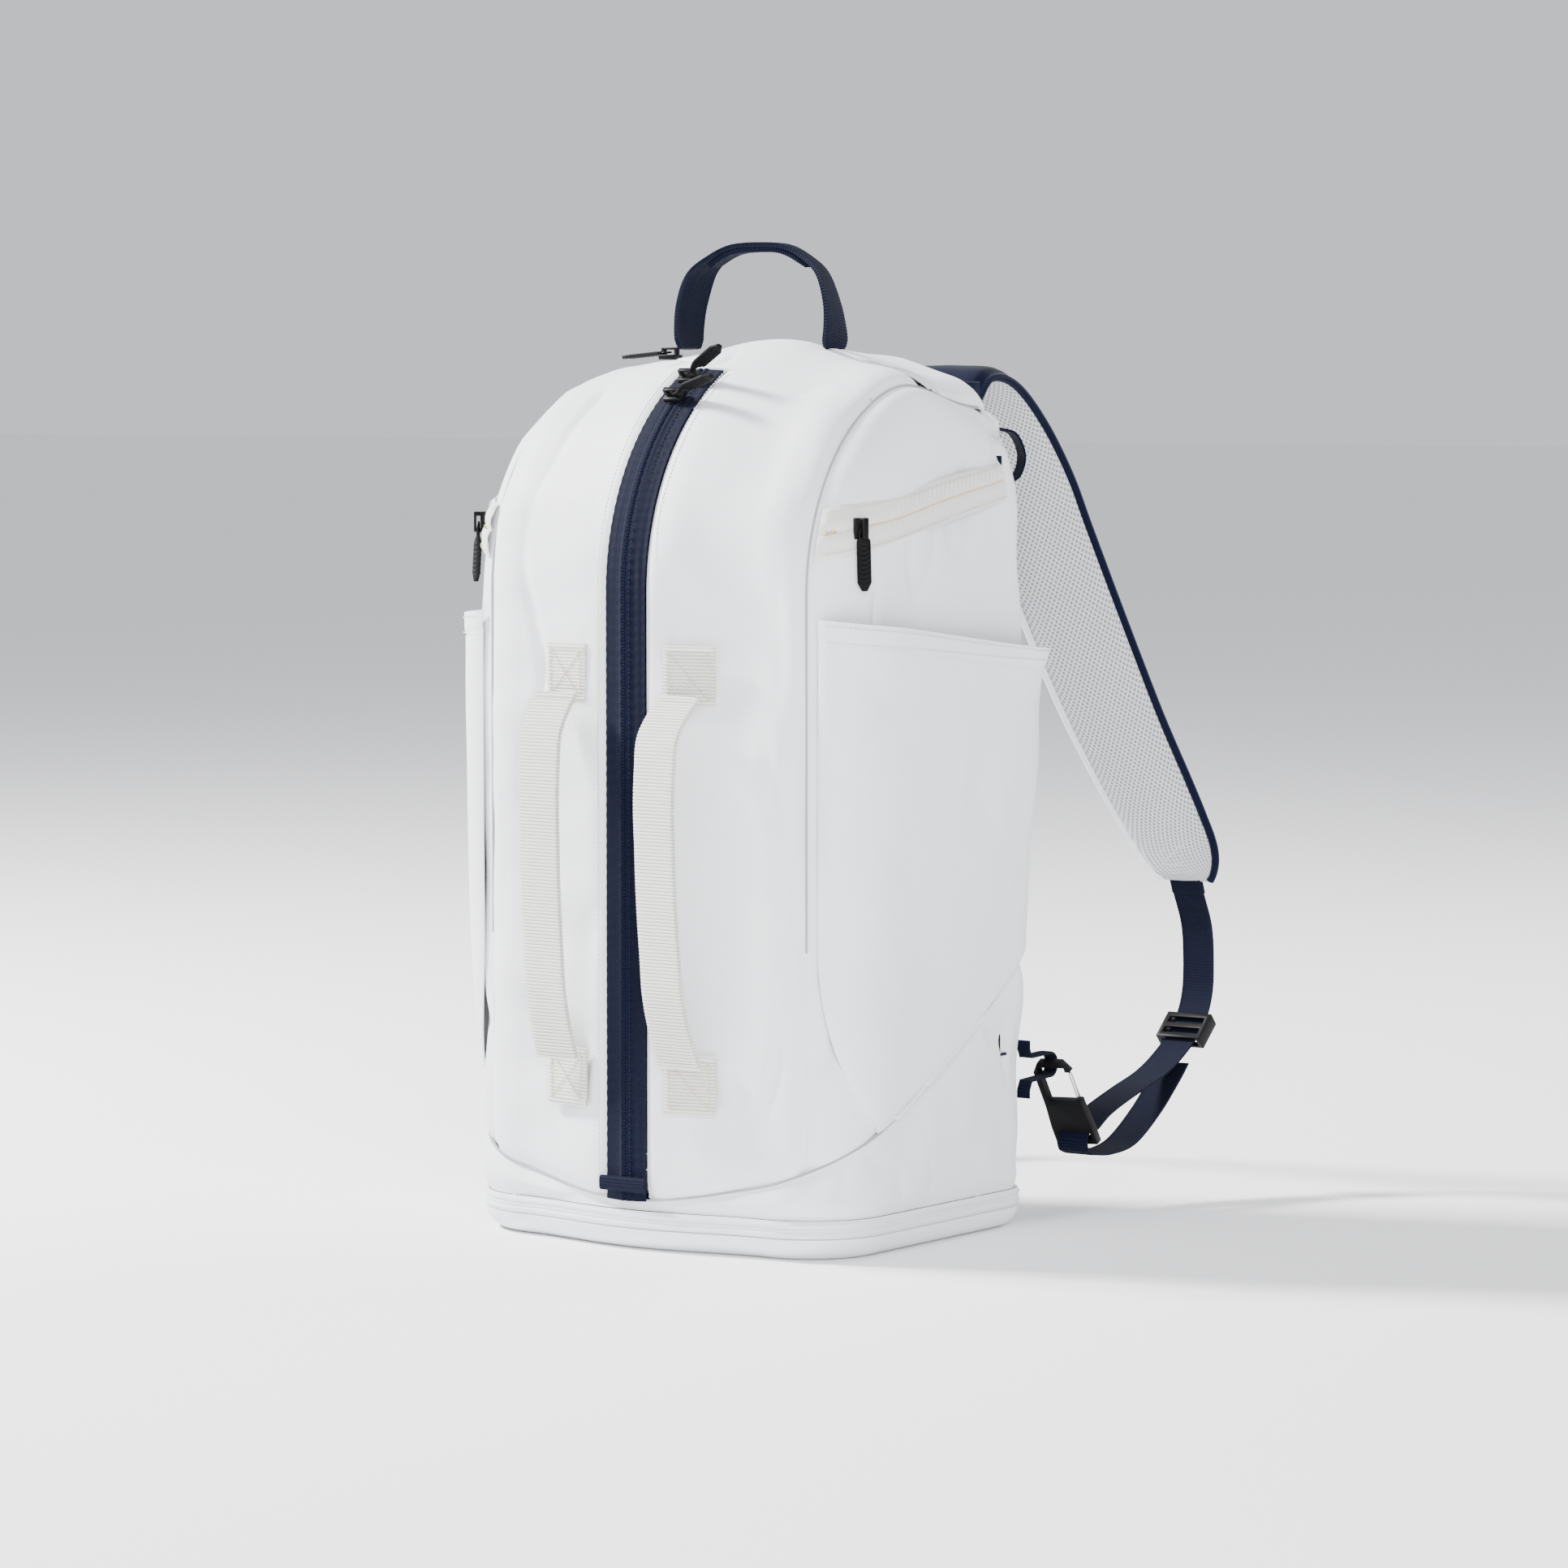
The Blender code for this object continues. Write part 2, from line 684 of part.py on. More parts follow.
def make_pull(name, where):
    """A rubber pull: its bar lies on the hinge line, and the rest hangs along its X."""
    half = PULL_WIDTH / 2
    low = -PULL_THICKNESS / 2
    high = PULL_THICKNESS / 2
    pull = add_object(name, box((-PULL_BAR / 2, -half, low), (PULL_LENGTH, half, high)), "black")
    start = PULL_BAR / 2
    window = box((start, -half + PULL_RAIL, -FAR), (start + PULL_WINDOW, half - PULL_RAIL, FAR))
    cut(pull, add_cutter("window_cut", window))
    for side in (-1, 1):
        bm = box((-0.004, -0.004, -0.01), (0.004, 0.004, 0.01))
        turn = Matrix.Translation((PULL_LENGTH, side * half, 0)) @ Matrix.Rotation(math.radians(45), 4, "Z")
        cut(pull, add_cutter("tip_cut", bm, turn))
    pull.matrix_world = where
    return pull


def slider_and_pull(label, spot, along, up, swing):
    """A slider on its tape, and its pull swung up from the tape by an angle."""
    up = Vector(up).normalized()
    along = Vector(along).normalized()
    spot = Vector(spot) + up * TOUCH_GAP
    make_slider(label + "_slider", frame_at(spot, along, up))
    hinge = spot + up * (SLIDER_PLATE + TUNNEL_HEIGHT / 2)
    lying = along * math.cos(swing) + up * math.sin(swing)
    rising = up * math.cos(swing) - along * math.sin(swing)
    make_pull(label + "_pull", frame_at(hinge, lying, rising))


def make_sliders():
    """Six sliders with their pulls."""
    places = (("main_zip_lower", MAIN_LOWER_DEG, MAIN_LOWER_SWING),
              ("main_zip_upper", MAIN_UPPER_DEG, MAIN_UPPER_SWING))
    for label, degrees, swing in places:
        angle = math.radians(degrees)
        up = Vector((0, -math.cos(angle), math.sin(angle)))
        slider_and_pull(label, on_dome(0, angle, SLIDER_LIFT), (1, 0, 0), up, math.radians(swing))
    stand = TAPE_THICKNESS + TOUCH_GAP * 4 + SLIDER_LIFT
    at = side_zip_point(SIDE_SLIDER_SHARE, stand)
    out = at - side_zip_point(SIDE_SLIDER_SHARE)
    for label, side in (("side_zip_left", -1), ("side_zip_right", 1)):
        swing = math.radians(SIDE_PULL_SWING)
        slider_and_pull(label, mirrored(at, side), (0, 0, -1), mirrored(out, side), swing)
    x = -FLAT_X + 0.004
    rear_top = top_z(x + SLIDER_LENGTH / 2) + SLIDER_LIFT
    slider_and_pull("rear_zip", (x, REAR_ZIP_Y, rear_top), (-1, 0, 0), (0, 0, 1), math.radians(REAR_PULL_SWING))
    base_z = (BASE_ZIP_LOW + BASE_ZIP_HIGH) / 2
    slider_and_pull("base_zip", (-BODY_WIDTH / 2, 0.030, base_z), (0, -1, 0), (-1, 0, 0), math.radians(8))


# ---------------------------------------------------------------- handles
def make_tab(name, x, z):
    """A box-stitched webbing tab that holds one end of a front grip."""
    def place(u, v):
        tab_x = x + (u - 0.5) * TAB_WIDTH
        return Vector((tab_x, front_y(tab_x) - TAB_THICKNESS - TOUCH_GAP * 2, z + (v - 0.5) * TAB_HEIGHT))

    return sheet(name, "offwhite", 4, 1, place, TAB_THICKNESS)


def make_grip(name, x, stand):
    """A front grip: a thick webbing bail that stands proud between its two tabs."""
    proudest = front_y(abs(x) - GRIP_WIDTH / 2)
    face = proudest - TAB_THICKNESS - 4 * TOUCH_GAP - GRIP_THICKNESS / 2 - GRIP_END_GAP
    steps = 16
    route = []
    for number in range(steps + 1):
        share = number / steps
        bow = math.sin(math.pi * share) ** 0.6
        z = GRIP_LOW_Z + (GRIP_HIGH_Z - GRIP_LOW_Z) * share
        route.append(Vector((x, face - stand * bow, z)))
    return ribbon(name, "offwhite", route, lambda k: Vector((1, 0, 0)), GRIP_WIDTH, GRIP_THICKNESS)


def make_handles():
    for label, side, stand in (("left", -1, GRIP_STAND_LEFT), ("right", 1, GRIP_STAND_RIGHT)):
        x = GRIP_X * side
        make_grip("front_grip_" + label, x, stand)
        make_tab("grip_tab_lower_" + label, x, GRIP_LOW_Z - TAB_HEIGHT / 2 + 0.006)
        make_tab("grip_tab_upper_" + label, x, GRIP_HIGH_Z + TAB_HEIGHT / 2 - 0.006)


def haul_foot_z():
    return top_z(HAUL_X) + 4 * TOUCH_GAP


def haul_route():
    """The haul loop's route, from its left foot over to its right one."""
    foot_z = haul_foot_z()
    top = foot_z + HAUL_HEIGHT
    rises = [HAUL_WIDTH / 2 * (1 - math.cos(math.radians(a))) for a in (20, 45, 68, 90)]
    route = [Vector((-HAUL_X, HAUL_Y, foot_z + rise)) for rise in rises]
    for step in range(5):
        angle = math.radians(22.5 * step)
        x = -HAUL_X + HAUL_CORNER * (1 - math.cos(angle))
        route.append(Vector((x, HAUL_Y, top - HAUL_CORNER * (1 - math.sin(angle)))))
    return route + [Vector((-p.x, p.y, p.z)) for p in reversed(route)]


def make_haul_loop():
    """The haul loop: flat webbing whose feet are rounded about the line that it folds on."""
    route = haul_route()
    last = len(route) - 1
    foot_z = haul_foot_z()

    def place(u, v):
        spot = route[int(round(v * last))]
        above = min(HAUL_WIDTH / 2, spot.z - foot_z)
        width = 2 * math.sqrt((HAUL_WIDTH / 2) ** 2 - (HAUL_WIDTH / 2 - above) ** 2)
        return spot + Vector((0, (u - 0.5) * width, 0))

    sheet("haul_loop", "navy", 1, last, place, HAUL_THICKNESS, offset=0.0)


# ---------------------------------------------------------------- harness
def strap_across(share):
    """The width direction of the right-hand strap: it turns outwards as it comes down."""
    turn = STRAP_TURN * math.sin(math.pi * min(1.0, share * 1.15)) + 0.04
    return Vector((1.0, turn, 0.0))


def make_strap(name, side):
    """A padded shoulder strap, narrower at its lower end."""
    route = smooth_route(STRAP_ROUTE, 22)
    last = len(route) - 1

    def place(u, v):
        spot = int(round(v * last))
        taper = 1.0 - 0.34 * max(0.0, (v - 0.86) / 0.14) ** 2
        point = route[spot] + strap_across(v).normalized() * (u - 0.5) * STRAP_WIDTH * taper
        return mirrored(point, side)

    return sheet(name, "mesh", 2, last, place, STRAP_THICKNESS, offset=0.0)


def make_webbing(name, side, points, count):
    """A run of lower webbing."""
    route = [mirrored(p, side) for p in smooth_route(points, count)]
    return ribbon(name, "navy", route, lambda k: Vector((1, 0, 0)), WEBBING_WIDTH, WEBBING_THICKNESS)


def ladder_frame(side):
    """Where the ladder lock sits: its X along the webbing, its Z off the webbing's face."""
    route = smooth_route(LOWER_ROUTE, 100)
    spot = int(LADDER_AT * 100)
    along = route[spot + 1] - route[spot - 1]
    face = along.cross(Vector((1, 0, 0)))
    return frame_at(mirrored(route[spot], side), mirrored(along, side), mirrored(face, side))


def make_ladder(name, side):
    """A ladder lock: a frame round the webbing, with a bar above it."""
    half_length = LADDER_LENGTH / 2
    half_width = LADDER_WIDTH / 2
    high = LADDER_THICKNESS * 1.35
    block = box((-half_length, -half_width, -high), (half_length, half_width, high))
    ladder = add_object(name, block, "black")
    inner = half_width - LADDER_BAR * 0.8
    slot = LADDER_THICKNESS * 0.85
    tunnel = box((-half_length * 2, -inner, -slot), (half_length * 2, inner, slot))
    cut(ladder, add_cutter("tunnel_cut", tunnel))
    for edge in (-1, 1):
        low = min(edge * LADDER_BAR / 2, edge * (half_length - LADDER_BAR))
        far = max(edge * LADDER_BAR / 2, edge * (half_length - LADDER_BAR))
        cut(ladder, add_cutter("window_cut", box((low, -inner, -0.02), (far, inner, 0.02))))
    ladder.matrix_world = ladder_frame(side)
    return ladder


def hook_frame(side):
    """Where the hook sits: its X runs from the slot to the nose, its Y is the bag's X."""
    bar = mirrored(HOOK_BAR, side)
    nose = mirrored(HOOK_NOSE, side)
    along = nose - bar
    across = Vector((1, 0, 0))
    return frame_at(bar, along, along.cross(across))


def hook_length():
    return (Vector(HOOK_NOSE) - Vector(HOOK_BAR)).length


def make_hook(name, side):
    """A snap hook: a slot for the webbing, and an eye that the gate closes on its outer side."""
    length = hook_length()
    half = HOOK_THICKNESS / 2
    bm = bmesh.new()
    eye = HOOK_EYE_WIDTH / 2 + HOOK_FRAME
    wide = HOOK_WIDTH / 2
    outline = ((-HOOK_FRAME, -wide), (SLOT_HEIGHT + HOOK_FRAME, -wide),
               (length - EYE_HEIGHT - HOOK_FRAME, -eye),
               (length - 0.004, -eye), (length + HOOK_FRAME, -eye * 0.6), (length + HOOK_FRAME, eye * 0.6),
               (length - 0.004, eye), (length - EYE_HEIGHT - HOOK_FRAME, eye),
               (SLOT_HEIGHT + HOOK_FRAME, wide), (-HOOK_FRAME, wide))
    floor = bm.faces.new([bm.verts.new((x, y, -half)) for x, y in outline])
    lifted = bmesh.ops.extrude_face_region(bm, geom=[floor])
    top = [g for g in lifted["geom"] if isinstance(g, bmesh.types.BMVert)]
    bmesh.ops.translate(bm, vec=(0, 0, HOOK_THICKNESS), verts=top)
    bmesh.ops.recalc_face_normals(bm, faces=bm.faces)
    hook = add_object(name, bm, "black")
    slot_half = WEBBING_WIDTH / 2 + 0.001
    cut(hook, add_cutter("slot_cut", box((0, -slot_half, -0.02), (SLOT_HEIGHT, slot_half, 0.02))))
    eye_half = HOOK_EYE_WIDTH / 2
    cut(hook, add_cutter("eye_cut", box((length - EYE_HEIGHT, -eye_half, -0.02), (length, eye_half, 0.02))))
    gap = box((length - EYE_HEIGHT + 0.001, -0.001, -0.02), (length - 0.0035, eye * 2, 0.02))
    if side < 0:
        bmesh.ops.scale(gap, vec=(1, -1, 1), verts=gap.verts)
        bmesh.ops.reverse_faces(gap, faces=gap.faces)
    cut(hook, add_cutter("gate_gap", gap))
    hook.matrix_world = hook_frame(side)
    return hook


def make_gate(name, side):
    """The sprung wire gate: a doubled wire that closes the hook's open side."""
    length = hook_length()
    curve = bpy.data.curves.new(name, "CURVE")
    curve.dimensions = "3D"
    curve.bevel_depth = GATE_WIRE / 2
    curve.bevel_resolution = 1
    curve.use_fill_caps = True
    across = side * (HOOK_EYE_WIDTH / 2 + HOOK_FRAME / 2)
    foot = length - EYE_HEIGHT + 0.0022
    tip = length - 0.0052
    spline = curve.splines.new("POLY")
    points = [(foot, across, -GATE_SPREAD / 2), (tip - 0.001, across, -GATE_SPREAD / 2),
              (tip, across, -0.0004),
              (tip, across, 0.0004), (tip - 0.001, across, GATE_SPREAD / 2), (foot, across, GATE_SPREAD / 2)]
    spline.points.add(len(points) - 1)
    for spot, point in zip(spline.points, points):
        spot.co = (*point, 1.0)
    wire = bpy.data.objects.new(name + "_curve", curve)
    parts.objects.link(wire)
    bpy.context.view_layer.update()
    graph = bpy.context.evaluated_depsgraph_get()
    mesh = bpy.data.meshes.new_from_object(wire.evaluated_get(graph))
    bm = bmesh.new()
    bm.from_mesh(mesh)
    bmesh.ops.remove_doubles(bm, verts=bm.verts, dist=1e-6)
    bmesh.ops.recalc_face_normals(bm, faces=bm.faces)
    bpy.data.objects.remove(wire, do_unlink=True)
    return add_object(name, bm, "steel", hook_frame(side))


def make_anchor(name, side):
    """The small webbing loop on the back panel that the hook is clipped to."""
    nose = Vector(HOOK_NOSE)
    inner = -0.0055
    wall = BODY_DEPTH / 2 + WEBBING_THICKNESS / 2 + 2 * TOUCH_GAP
    x = (nose.x + inner) * side
    turn = 0.0085
    route = [Vector((x, wall, nose.z + 0.020)), Vector((x, wall, nose.z + turn + 0.006)),
             Vector((x, wall + 0.003, nose.z + turn))]
    centre = Vector((x, nose.y, nose.z + 0.0010))
    for step in range(7):
        angle = math.radians(100 - 200 * step / 6)
        route.append(centre + Vector((0, math.cos(angle) * turn, math.sin(angle) * turn)))
    route += [Vector((x, wall + 0.003, nose.z - turn)), Vector((x, wall, nose.z - turn - 0.006)),
              Vector((x, wall, nose.z - 0.020))]
    return ribbon(name, "navy", route, lambda k: Vector((1, 0, 0)), ANCHOR_WIDTH, WEBBING_THICKNESS)


def make_back_pad(name, side):
    """A foam pad on the back panel, covered in spacer mesh."""
    low_y = BODY_DEPTH / 2 + TOUCH_GAP * 2
    x = side * (PAD_WIDTH / 2 + 0.012)
    low = (x - PAD_WIDTH / 2, low_y, PAD_FOOT)
    high = (x + PAD_WIDTH / 2, low_y + PAD_THICKNESS, PAD_FOOT + PAD_HEIGHT)
    pad = add_object(name, box(low, high), "mesh")
    edge = pad.modifiers.new("edge", "BEVEL")
    edge.width = PAD_THICKNESS * 0.45
    edge.segments = 2
    edge.limit_method = "ANGLE"
    return pad


def make_anchor_patch():
    """The panel across the top of the back, which the shoulder straps are sewn under."""
    low_y = BODY_DEPTH / 2 + TOUCH_GAP * 2
    bm = box((-PATCH_X, low_y, PATCH_LOW), (PATCH_X, low_y + PATCH_THICKNESS, PATCH_HIGH))
    return add_object("strap_anchor_patch", bm, "navy")


def make_harness():
    for label, side in (("left", -1), ("right", 1)):
        make_strap("shoulder_strap_" + label, side)
        make_webbing("lower_webbing_" + label, side, LOWER_ROUTE, 26)
        make_webbing("return_webbing_" + label, side, TAIL_ROUTE, 12)
        make_ladder("ladder_lock_" + label, side)
        make_hook("snap_hook_" + label, side)
        make_gate("wire_gate_" + label, side)
        make_anchor("anchor_loop_" + label, side)
        make_back_pad("back_pad_" + label, side)
    make_anchor_patch()


# ---------------------------------------------------------------- inside
def make_inside():
    """The stiffeners and the sheets that part the bag's compartments."""
    inner_x = BODY_WIDTH / 2 - WALL - SHEET_GAP
    back = BODY_DEPTH / 2 - WALL - SHEET_GAP
    half = BODY_WIDTH / 2 - BACK_ROUND
    bm = box((-half, back - BOARD_THICKNESS, 0.050), (half, back, TOP_Z - 0.050))
    add_object("frame_sheet", bm, "board")
    front = -BODY_DEPTH / 2 + BASE_ROUND + WALL
    reach = FLAT_X + 0.020
    low_z = WALL + SHEET_GAP
    bm = box((-reach, front, low_z), (reach, back - BASE_ROUND, low_z + BOARD_THICKNESS))
    add_object("base_board", bm, "board")
    low_y = -BODY_DEPTH / 2 + FRONT_ROUND
    high = (inner_x, BODY_DEPTH / 2 - BACK_ROUND, SHOE_FLOOR_Z + SHEET_THICKNESS)
    bm = box((-inner_x, low_y, SHOE_FLOOR_Z), high)
    add_object("shoe_compartment_floor", bm, "navy")
    bm = box((-inner_x, DIVIDER_Y, SHOE_FLOOR_Z + SHEET_THICKNESS + SHEET_GAP),
             (inner_x, DIVIDER_Y + SHEET_THICKNESS, TOP_Z - FRONT_ROUND - 0.004))
    add_object("rear_divider", bm, "navy")


make_shell()
make_pocket("side_pocket_left", -1)
make_pocket("side_pocket_right", 1)
make_side_zip("side_zip_tape_left", -1)
make_side_zip("side_zip_tape_right", 1)
make_main_coil()
make_bottom_tab()
make_sliders()
make_handles()
make_haul_loop()
make_harness()
make_inside()
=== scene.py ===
"""Looks of the racket backpack: its cloth, zips, webbing, pads and hardware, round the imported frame."""
import json
import math

import bmesh
import bpy
import numpy as np
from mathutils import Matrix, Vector


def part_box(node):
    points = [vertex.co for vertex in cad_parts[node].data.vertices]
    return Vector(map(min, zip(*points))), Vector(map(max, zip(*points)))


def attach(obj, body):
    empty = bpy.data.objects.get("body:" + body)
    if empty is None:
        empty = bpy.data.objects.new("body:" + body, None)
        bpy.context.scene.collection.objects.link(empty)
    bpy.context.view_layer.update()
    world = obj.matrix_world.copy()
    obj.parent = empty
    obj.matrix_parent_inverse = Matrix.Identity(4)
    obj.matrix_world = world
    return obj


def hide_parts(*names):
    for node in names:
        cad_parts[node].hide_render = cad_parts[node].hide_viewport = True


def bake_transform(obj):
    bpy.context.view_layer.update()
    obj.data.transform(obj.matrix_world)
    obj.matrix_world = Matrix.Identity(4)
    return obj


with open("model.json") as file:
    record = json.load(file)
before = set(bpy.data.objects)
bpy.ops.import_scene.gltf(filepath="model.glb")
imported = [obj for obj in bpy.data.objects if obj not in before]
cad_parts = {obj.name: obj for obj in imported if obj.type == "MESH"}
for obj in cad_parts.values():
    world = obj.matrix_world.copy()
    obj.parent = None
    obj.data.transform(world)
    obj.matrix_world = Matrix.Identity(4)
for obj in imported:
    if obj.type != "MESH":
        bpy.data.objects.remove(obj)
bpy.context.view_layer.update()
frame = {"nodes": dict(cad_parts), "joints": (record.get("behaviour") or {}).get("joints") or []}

# ------------------------------------------------------------ sizes, from the frame
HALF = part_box("side_panel_right")[1][0]
BACK_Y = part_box("back_panel")[1][1]
SEAM_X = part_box("top_panel")[1][0]
ZIP_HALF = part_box("main_zip_tape")[1][0]
BOOT_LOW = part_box("boot_panel")[0][2]
RING_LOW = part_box("base_zip_tape")[0][2]
BASE_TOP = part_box("base_panel")[1][2]
BACK_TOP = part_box("back_panel")[1][2]
REAR_ZIP_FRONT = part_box("rear_zip_tape")[0][1]
REAR_ZIP_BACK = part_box("rear_zip_tape")[1][1]
FRONT_ROUND = 0.060
BACK_ROUND = 0.035
BASE_ROUND = 0.018
TOP_BACK_ROUND = 0.010
CROWN = 0.014
SHOULDER_Z = 0.440
DOME_RADIUS = 0.154
ZIP_TOP_ANGLE = math.radians(63)
SEAM = 0.0001
WALL = 0.003
CLOTH = WALL * 0.6
BASE_CLOTH = WALL * 0.8
FLAT_X = HALF - FRONT_ROUND
DOME_Y = -BACK_Y + DOME_RADIUS
TOP_Z = SHOULDER_Z + DOME_RADIUS
SIDE_FLAT = 2 * BACK_Y - FRONT_ROUND - BACK_ROUND
FRONT_ARC = FRONT_ROUND * math.pi / 2
BACK_ARC = BACK_ROUND * math.pi / 2
ROOF_RADIUS = DOME_RADIUS + CROWN
ZIP_TOP_LAP = 0.004
SLUMP_IN, SLUMP_FORWARD, SLUMP_DOWN = 0.012, 0.006, 0.024
BOOT_MIDDLE_Z = 0.037
SIDE_TAPE_WIDTH = 0.036
POCKET_CLOTH = 0.0016
PANEL_END = ZIP_TOP_ANGLE - ZIP_TOP_LAP
INSIDE = np.array((0.0, 0.0, 0.30))
ALL_EDGES = (0, 1, 2, 3)


def hand_of(side):
    return "right" if side > 0 else "left"


# ------------------------------------------------------------ finishes
class Weave:
    """A node tree in the making: short calls for the nodes that a cloth needs."""

    def __init__(self, name, colour, roughness, metallic=0.0, sheen=0.0, shine=0.10):
        self.material = bpy.data.materials.new(name)
        self.material.use_nodes = True
        self.tree = self.material.node_tree
        self.shader = self.tree.nodes["Principled BSDF"]
        self.shader.inputs["Base Color"].default_value = (*colour, 1.0)
        self.shader.inputs["Roughness"].default_value = roughness
        self.shader.inputs["Metallic"].default_value = metallic
        self.shader.inputs["Sheen Weight"].default_value = sheen
        self.shader.inputs["Specular IOR Level"].default_value = 0.5 if metallic else shine
        self.colour = colour
        self.height = None

    def node(self, kind, **values):
        made = self.tree.nodes.new(kind)
        for key, value in values.items():
            setattr(made, key, value)
        return made

    def link(self, source, target):
        self.tree.links.new(source, target)

    def maths(self, operation, first, second=None):
        made = self.node("ShaderNodeMath", operation=operation)
        for socket, value in zip(made.inputs, (first, second)):
            if value is None:
                continue
            if isinstance(value, (int, float)):
                socket.default_value = value
            else:
                self.link(value, socket)
        return made.outputs[0]

    def cloth_axes(self):
        """The cloth's own two directions, in metres."""
        uv = self.node("ShaderNodeUVMap", uv_map="cloth")
        parts = self.node("ShaderNodeSeparateXYZ")
        self.link(uv.outputs[0], parts.inputs[0])
        return parts.outputs[0], parts.outputs[1]

    def wave(self, value, pitch):
        return self.maths("SINE", self.maths("MULTIPLY", value, 2 * math.pi / pitch))

    def noise(self, scale, detail=3.0):
        where = self.node("ShaderNodeTexCoord")
        made = self.node("ShaderNodeTexNoise")
        made.inputs["Scale"].default_value = scale
        made.inputs["Detail"].default_value = detail
        self.link(where.outputs["Object"], made.inputs["Vector"])
        return made.outputs["Fac"]

    def tint(self, factor, dark, light):
        """Colour between two shades by a factor."""
        ramp = self.node("ShaderNodeValToRGB")
        ramp.color_ramp.elements[0].color = (*dark, 1.0)
        ramp.color_ramp.elements[1].color = (*light, 1.0)
        self.link(factor, ramp.inputs[0])
        self.link(ramp.outputs[0], self.shader.inputs["Base Color"])
        return ramp

    def bump(self, height, distance, strength=1.0):
        made = self.node("ShaderNodeBump")
        made.inputs["Distance"].default_value = distance
        made.inputs["Strength"].default_value = strength
        self.link(height, made.inputs["Height"])
        if self.height is not None:
            self.link(self.height, made.inputs["Normal"])
        self.height = made.outputs[0]
        self.link(self.height, self.shader.inputs["Normal"])


def shade(colour, factor):
    return tuple(min(1.0, c * factor) for c in colour)


def coated_cloth(name, colour, roughness=0.5):
    """A fine plain weave under a thin satin coating."""
    cloth = Weave(name, colour, roughness, sheen=0.05)
    across, along = cloth.cloth_axes()
    threads = cloth.maths("MULTIPLY", cloth.wave(across, 0.0011), cloth.wave(along, 0.0011))
    cloth.bump(threads, 0.00003, 0.6)
    cloth.bump(cloth.noise(38.0, 2.0), 0.0016, 0.30)
    cloth.tint(cloth.noise(14.0, 2.0), shade(colour, 0.965), shade(colour, 1.02))
    return cloth.material


def ribbed_webbing(name, colour, pitch=0.0023, roughness=0.78, painted_groove_shade=0.80):
    """Webbing with ribs across it and fine threads between them."""
    cloth = Weave(name, colour, roughness, sheen=0.02)
    across, along = cloth.cloth_axes()
    ribs = cloth.wave(along, pitch)
    threads = cloth.maths("MULTIPLY", cloth.wave(across, 0.0010), 0.35)
    both = cloth.maths("ADD", ribs, threads)
    cloth.bump(both, 0.00022, 0.9)
    # Painted shade and light: the rib valleys are coloured darker and the crests lighter, by the rib height.
    share = cloth.maths("MULTIPLY_ADD", ribs, 0.5)
    cloth.tree.nodes[-1].inputs[2].default_value = 0.5
    cloth.tint(share, shade(colour, painted_groove_shade), shade(colour, 1.08))
    return cloth.material


def herringbone_tape(name, colour, painted_groove_shade=0.55):
    """Zip tape: a herringbone weave; the dotted middle line is not drawn here."""
    cloth = Weave(name, colour, 0.72, sheen=0.02)
    across, along = cloth.cloth_axes()
    zigzag = cloth.maths("PINGPONG", across, 0.0027)
    slanted = cloth.maths("ADD", along, zigzag)
    twill = cloth.wave(slanted, 0.0014)
    cloth.bump(twill, 0.00016, 0.8)
    # Painted shade and light: the twill's grooves are coloured darker and its crests lighter, by the twill
    # height.
    share = cloth.maths("MULTIPLY_ADD", twill, 0.5)
    cloth.tree.nodes[-1].inputs[2].default_value = 0.5
    cloth.tint(share, shade(colour, painted_groove_shade), shade(colour, 1.1))
    return cloth.material


def spacer_mesh(name, colour, hole=0.42):
    """Knitted spacer mesh with rows of small oval holes, coloured dark with painted shade inside them."""
    cloth = Weave(name, colour, 0.9, sheen=0.2)
    uv = cloth.node("ShaderNodeUVMap", uv_map="cloth")
    turn = cloth.node("ShaderNodeMapping")
    turn.inputs["Rotation"].default_value = (0, 0, math.radians(45))
    turn.inputs["Scale"].default_value = (360.0, 280.0, 1.0)
    cells = cloth.node("ShaderNodeTexVoronoi", voronoi_dimensions="2D")
    cells.inputs["Randomness"].default_value = 0.0
    cells.inputs["Scale"].default_value = 1.0
    cloth.link(uv.outputs[0], turn.inputs["Vector"])
    cloth.link(turn.outputs[0], cells.inputs["Vector"])
    open_hole = cells.outputs["Distance"]
    cloth.bump(open_hole, 0.0009, 0.8)
    # Painted shade: the holes are coloured down to 0.36 of the mesh colour, for the shade inside them.
    ramp = cloth.tint(open_hole, shade(colour, 0.36), colour)
    ramp.color_ramp.elements[0].position = hole * 0.45
    ramp.color_ramp.elements[1].position = hole
    return cloth.material


def moulded(name, colour, roughness, grain=900.0, depth=0.00008, metallic=0.0):
    """Moulded plastic, rubber or metal with a fine grain."""
    made = Weave(name, colour, roughness, metallic)
    made.bump(made.noise(grain, 2.0), depth, 0.5)
    made.tint(made.noise(60.0, 2.0), shade(colour, 0.85), shade(colour, 1.15))
    return made.material


WHITE = (0.80, 0.815, 0.84)
CREAM = (0.72, 0.71, 0.665)
NAVY = (0.0014, 0.0031, 0.0165)
GREY_MESH = (0.60, 0.615, 0.645)
BLACK = (0.0035, 0.0035, 0.0038)

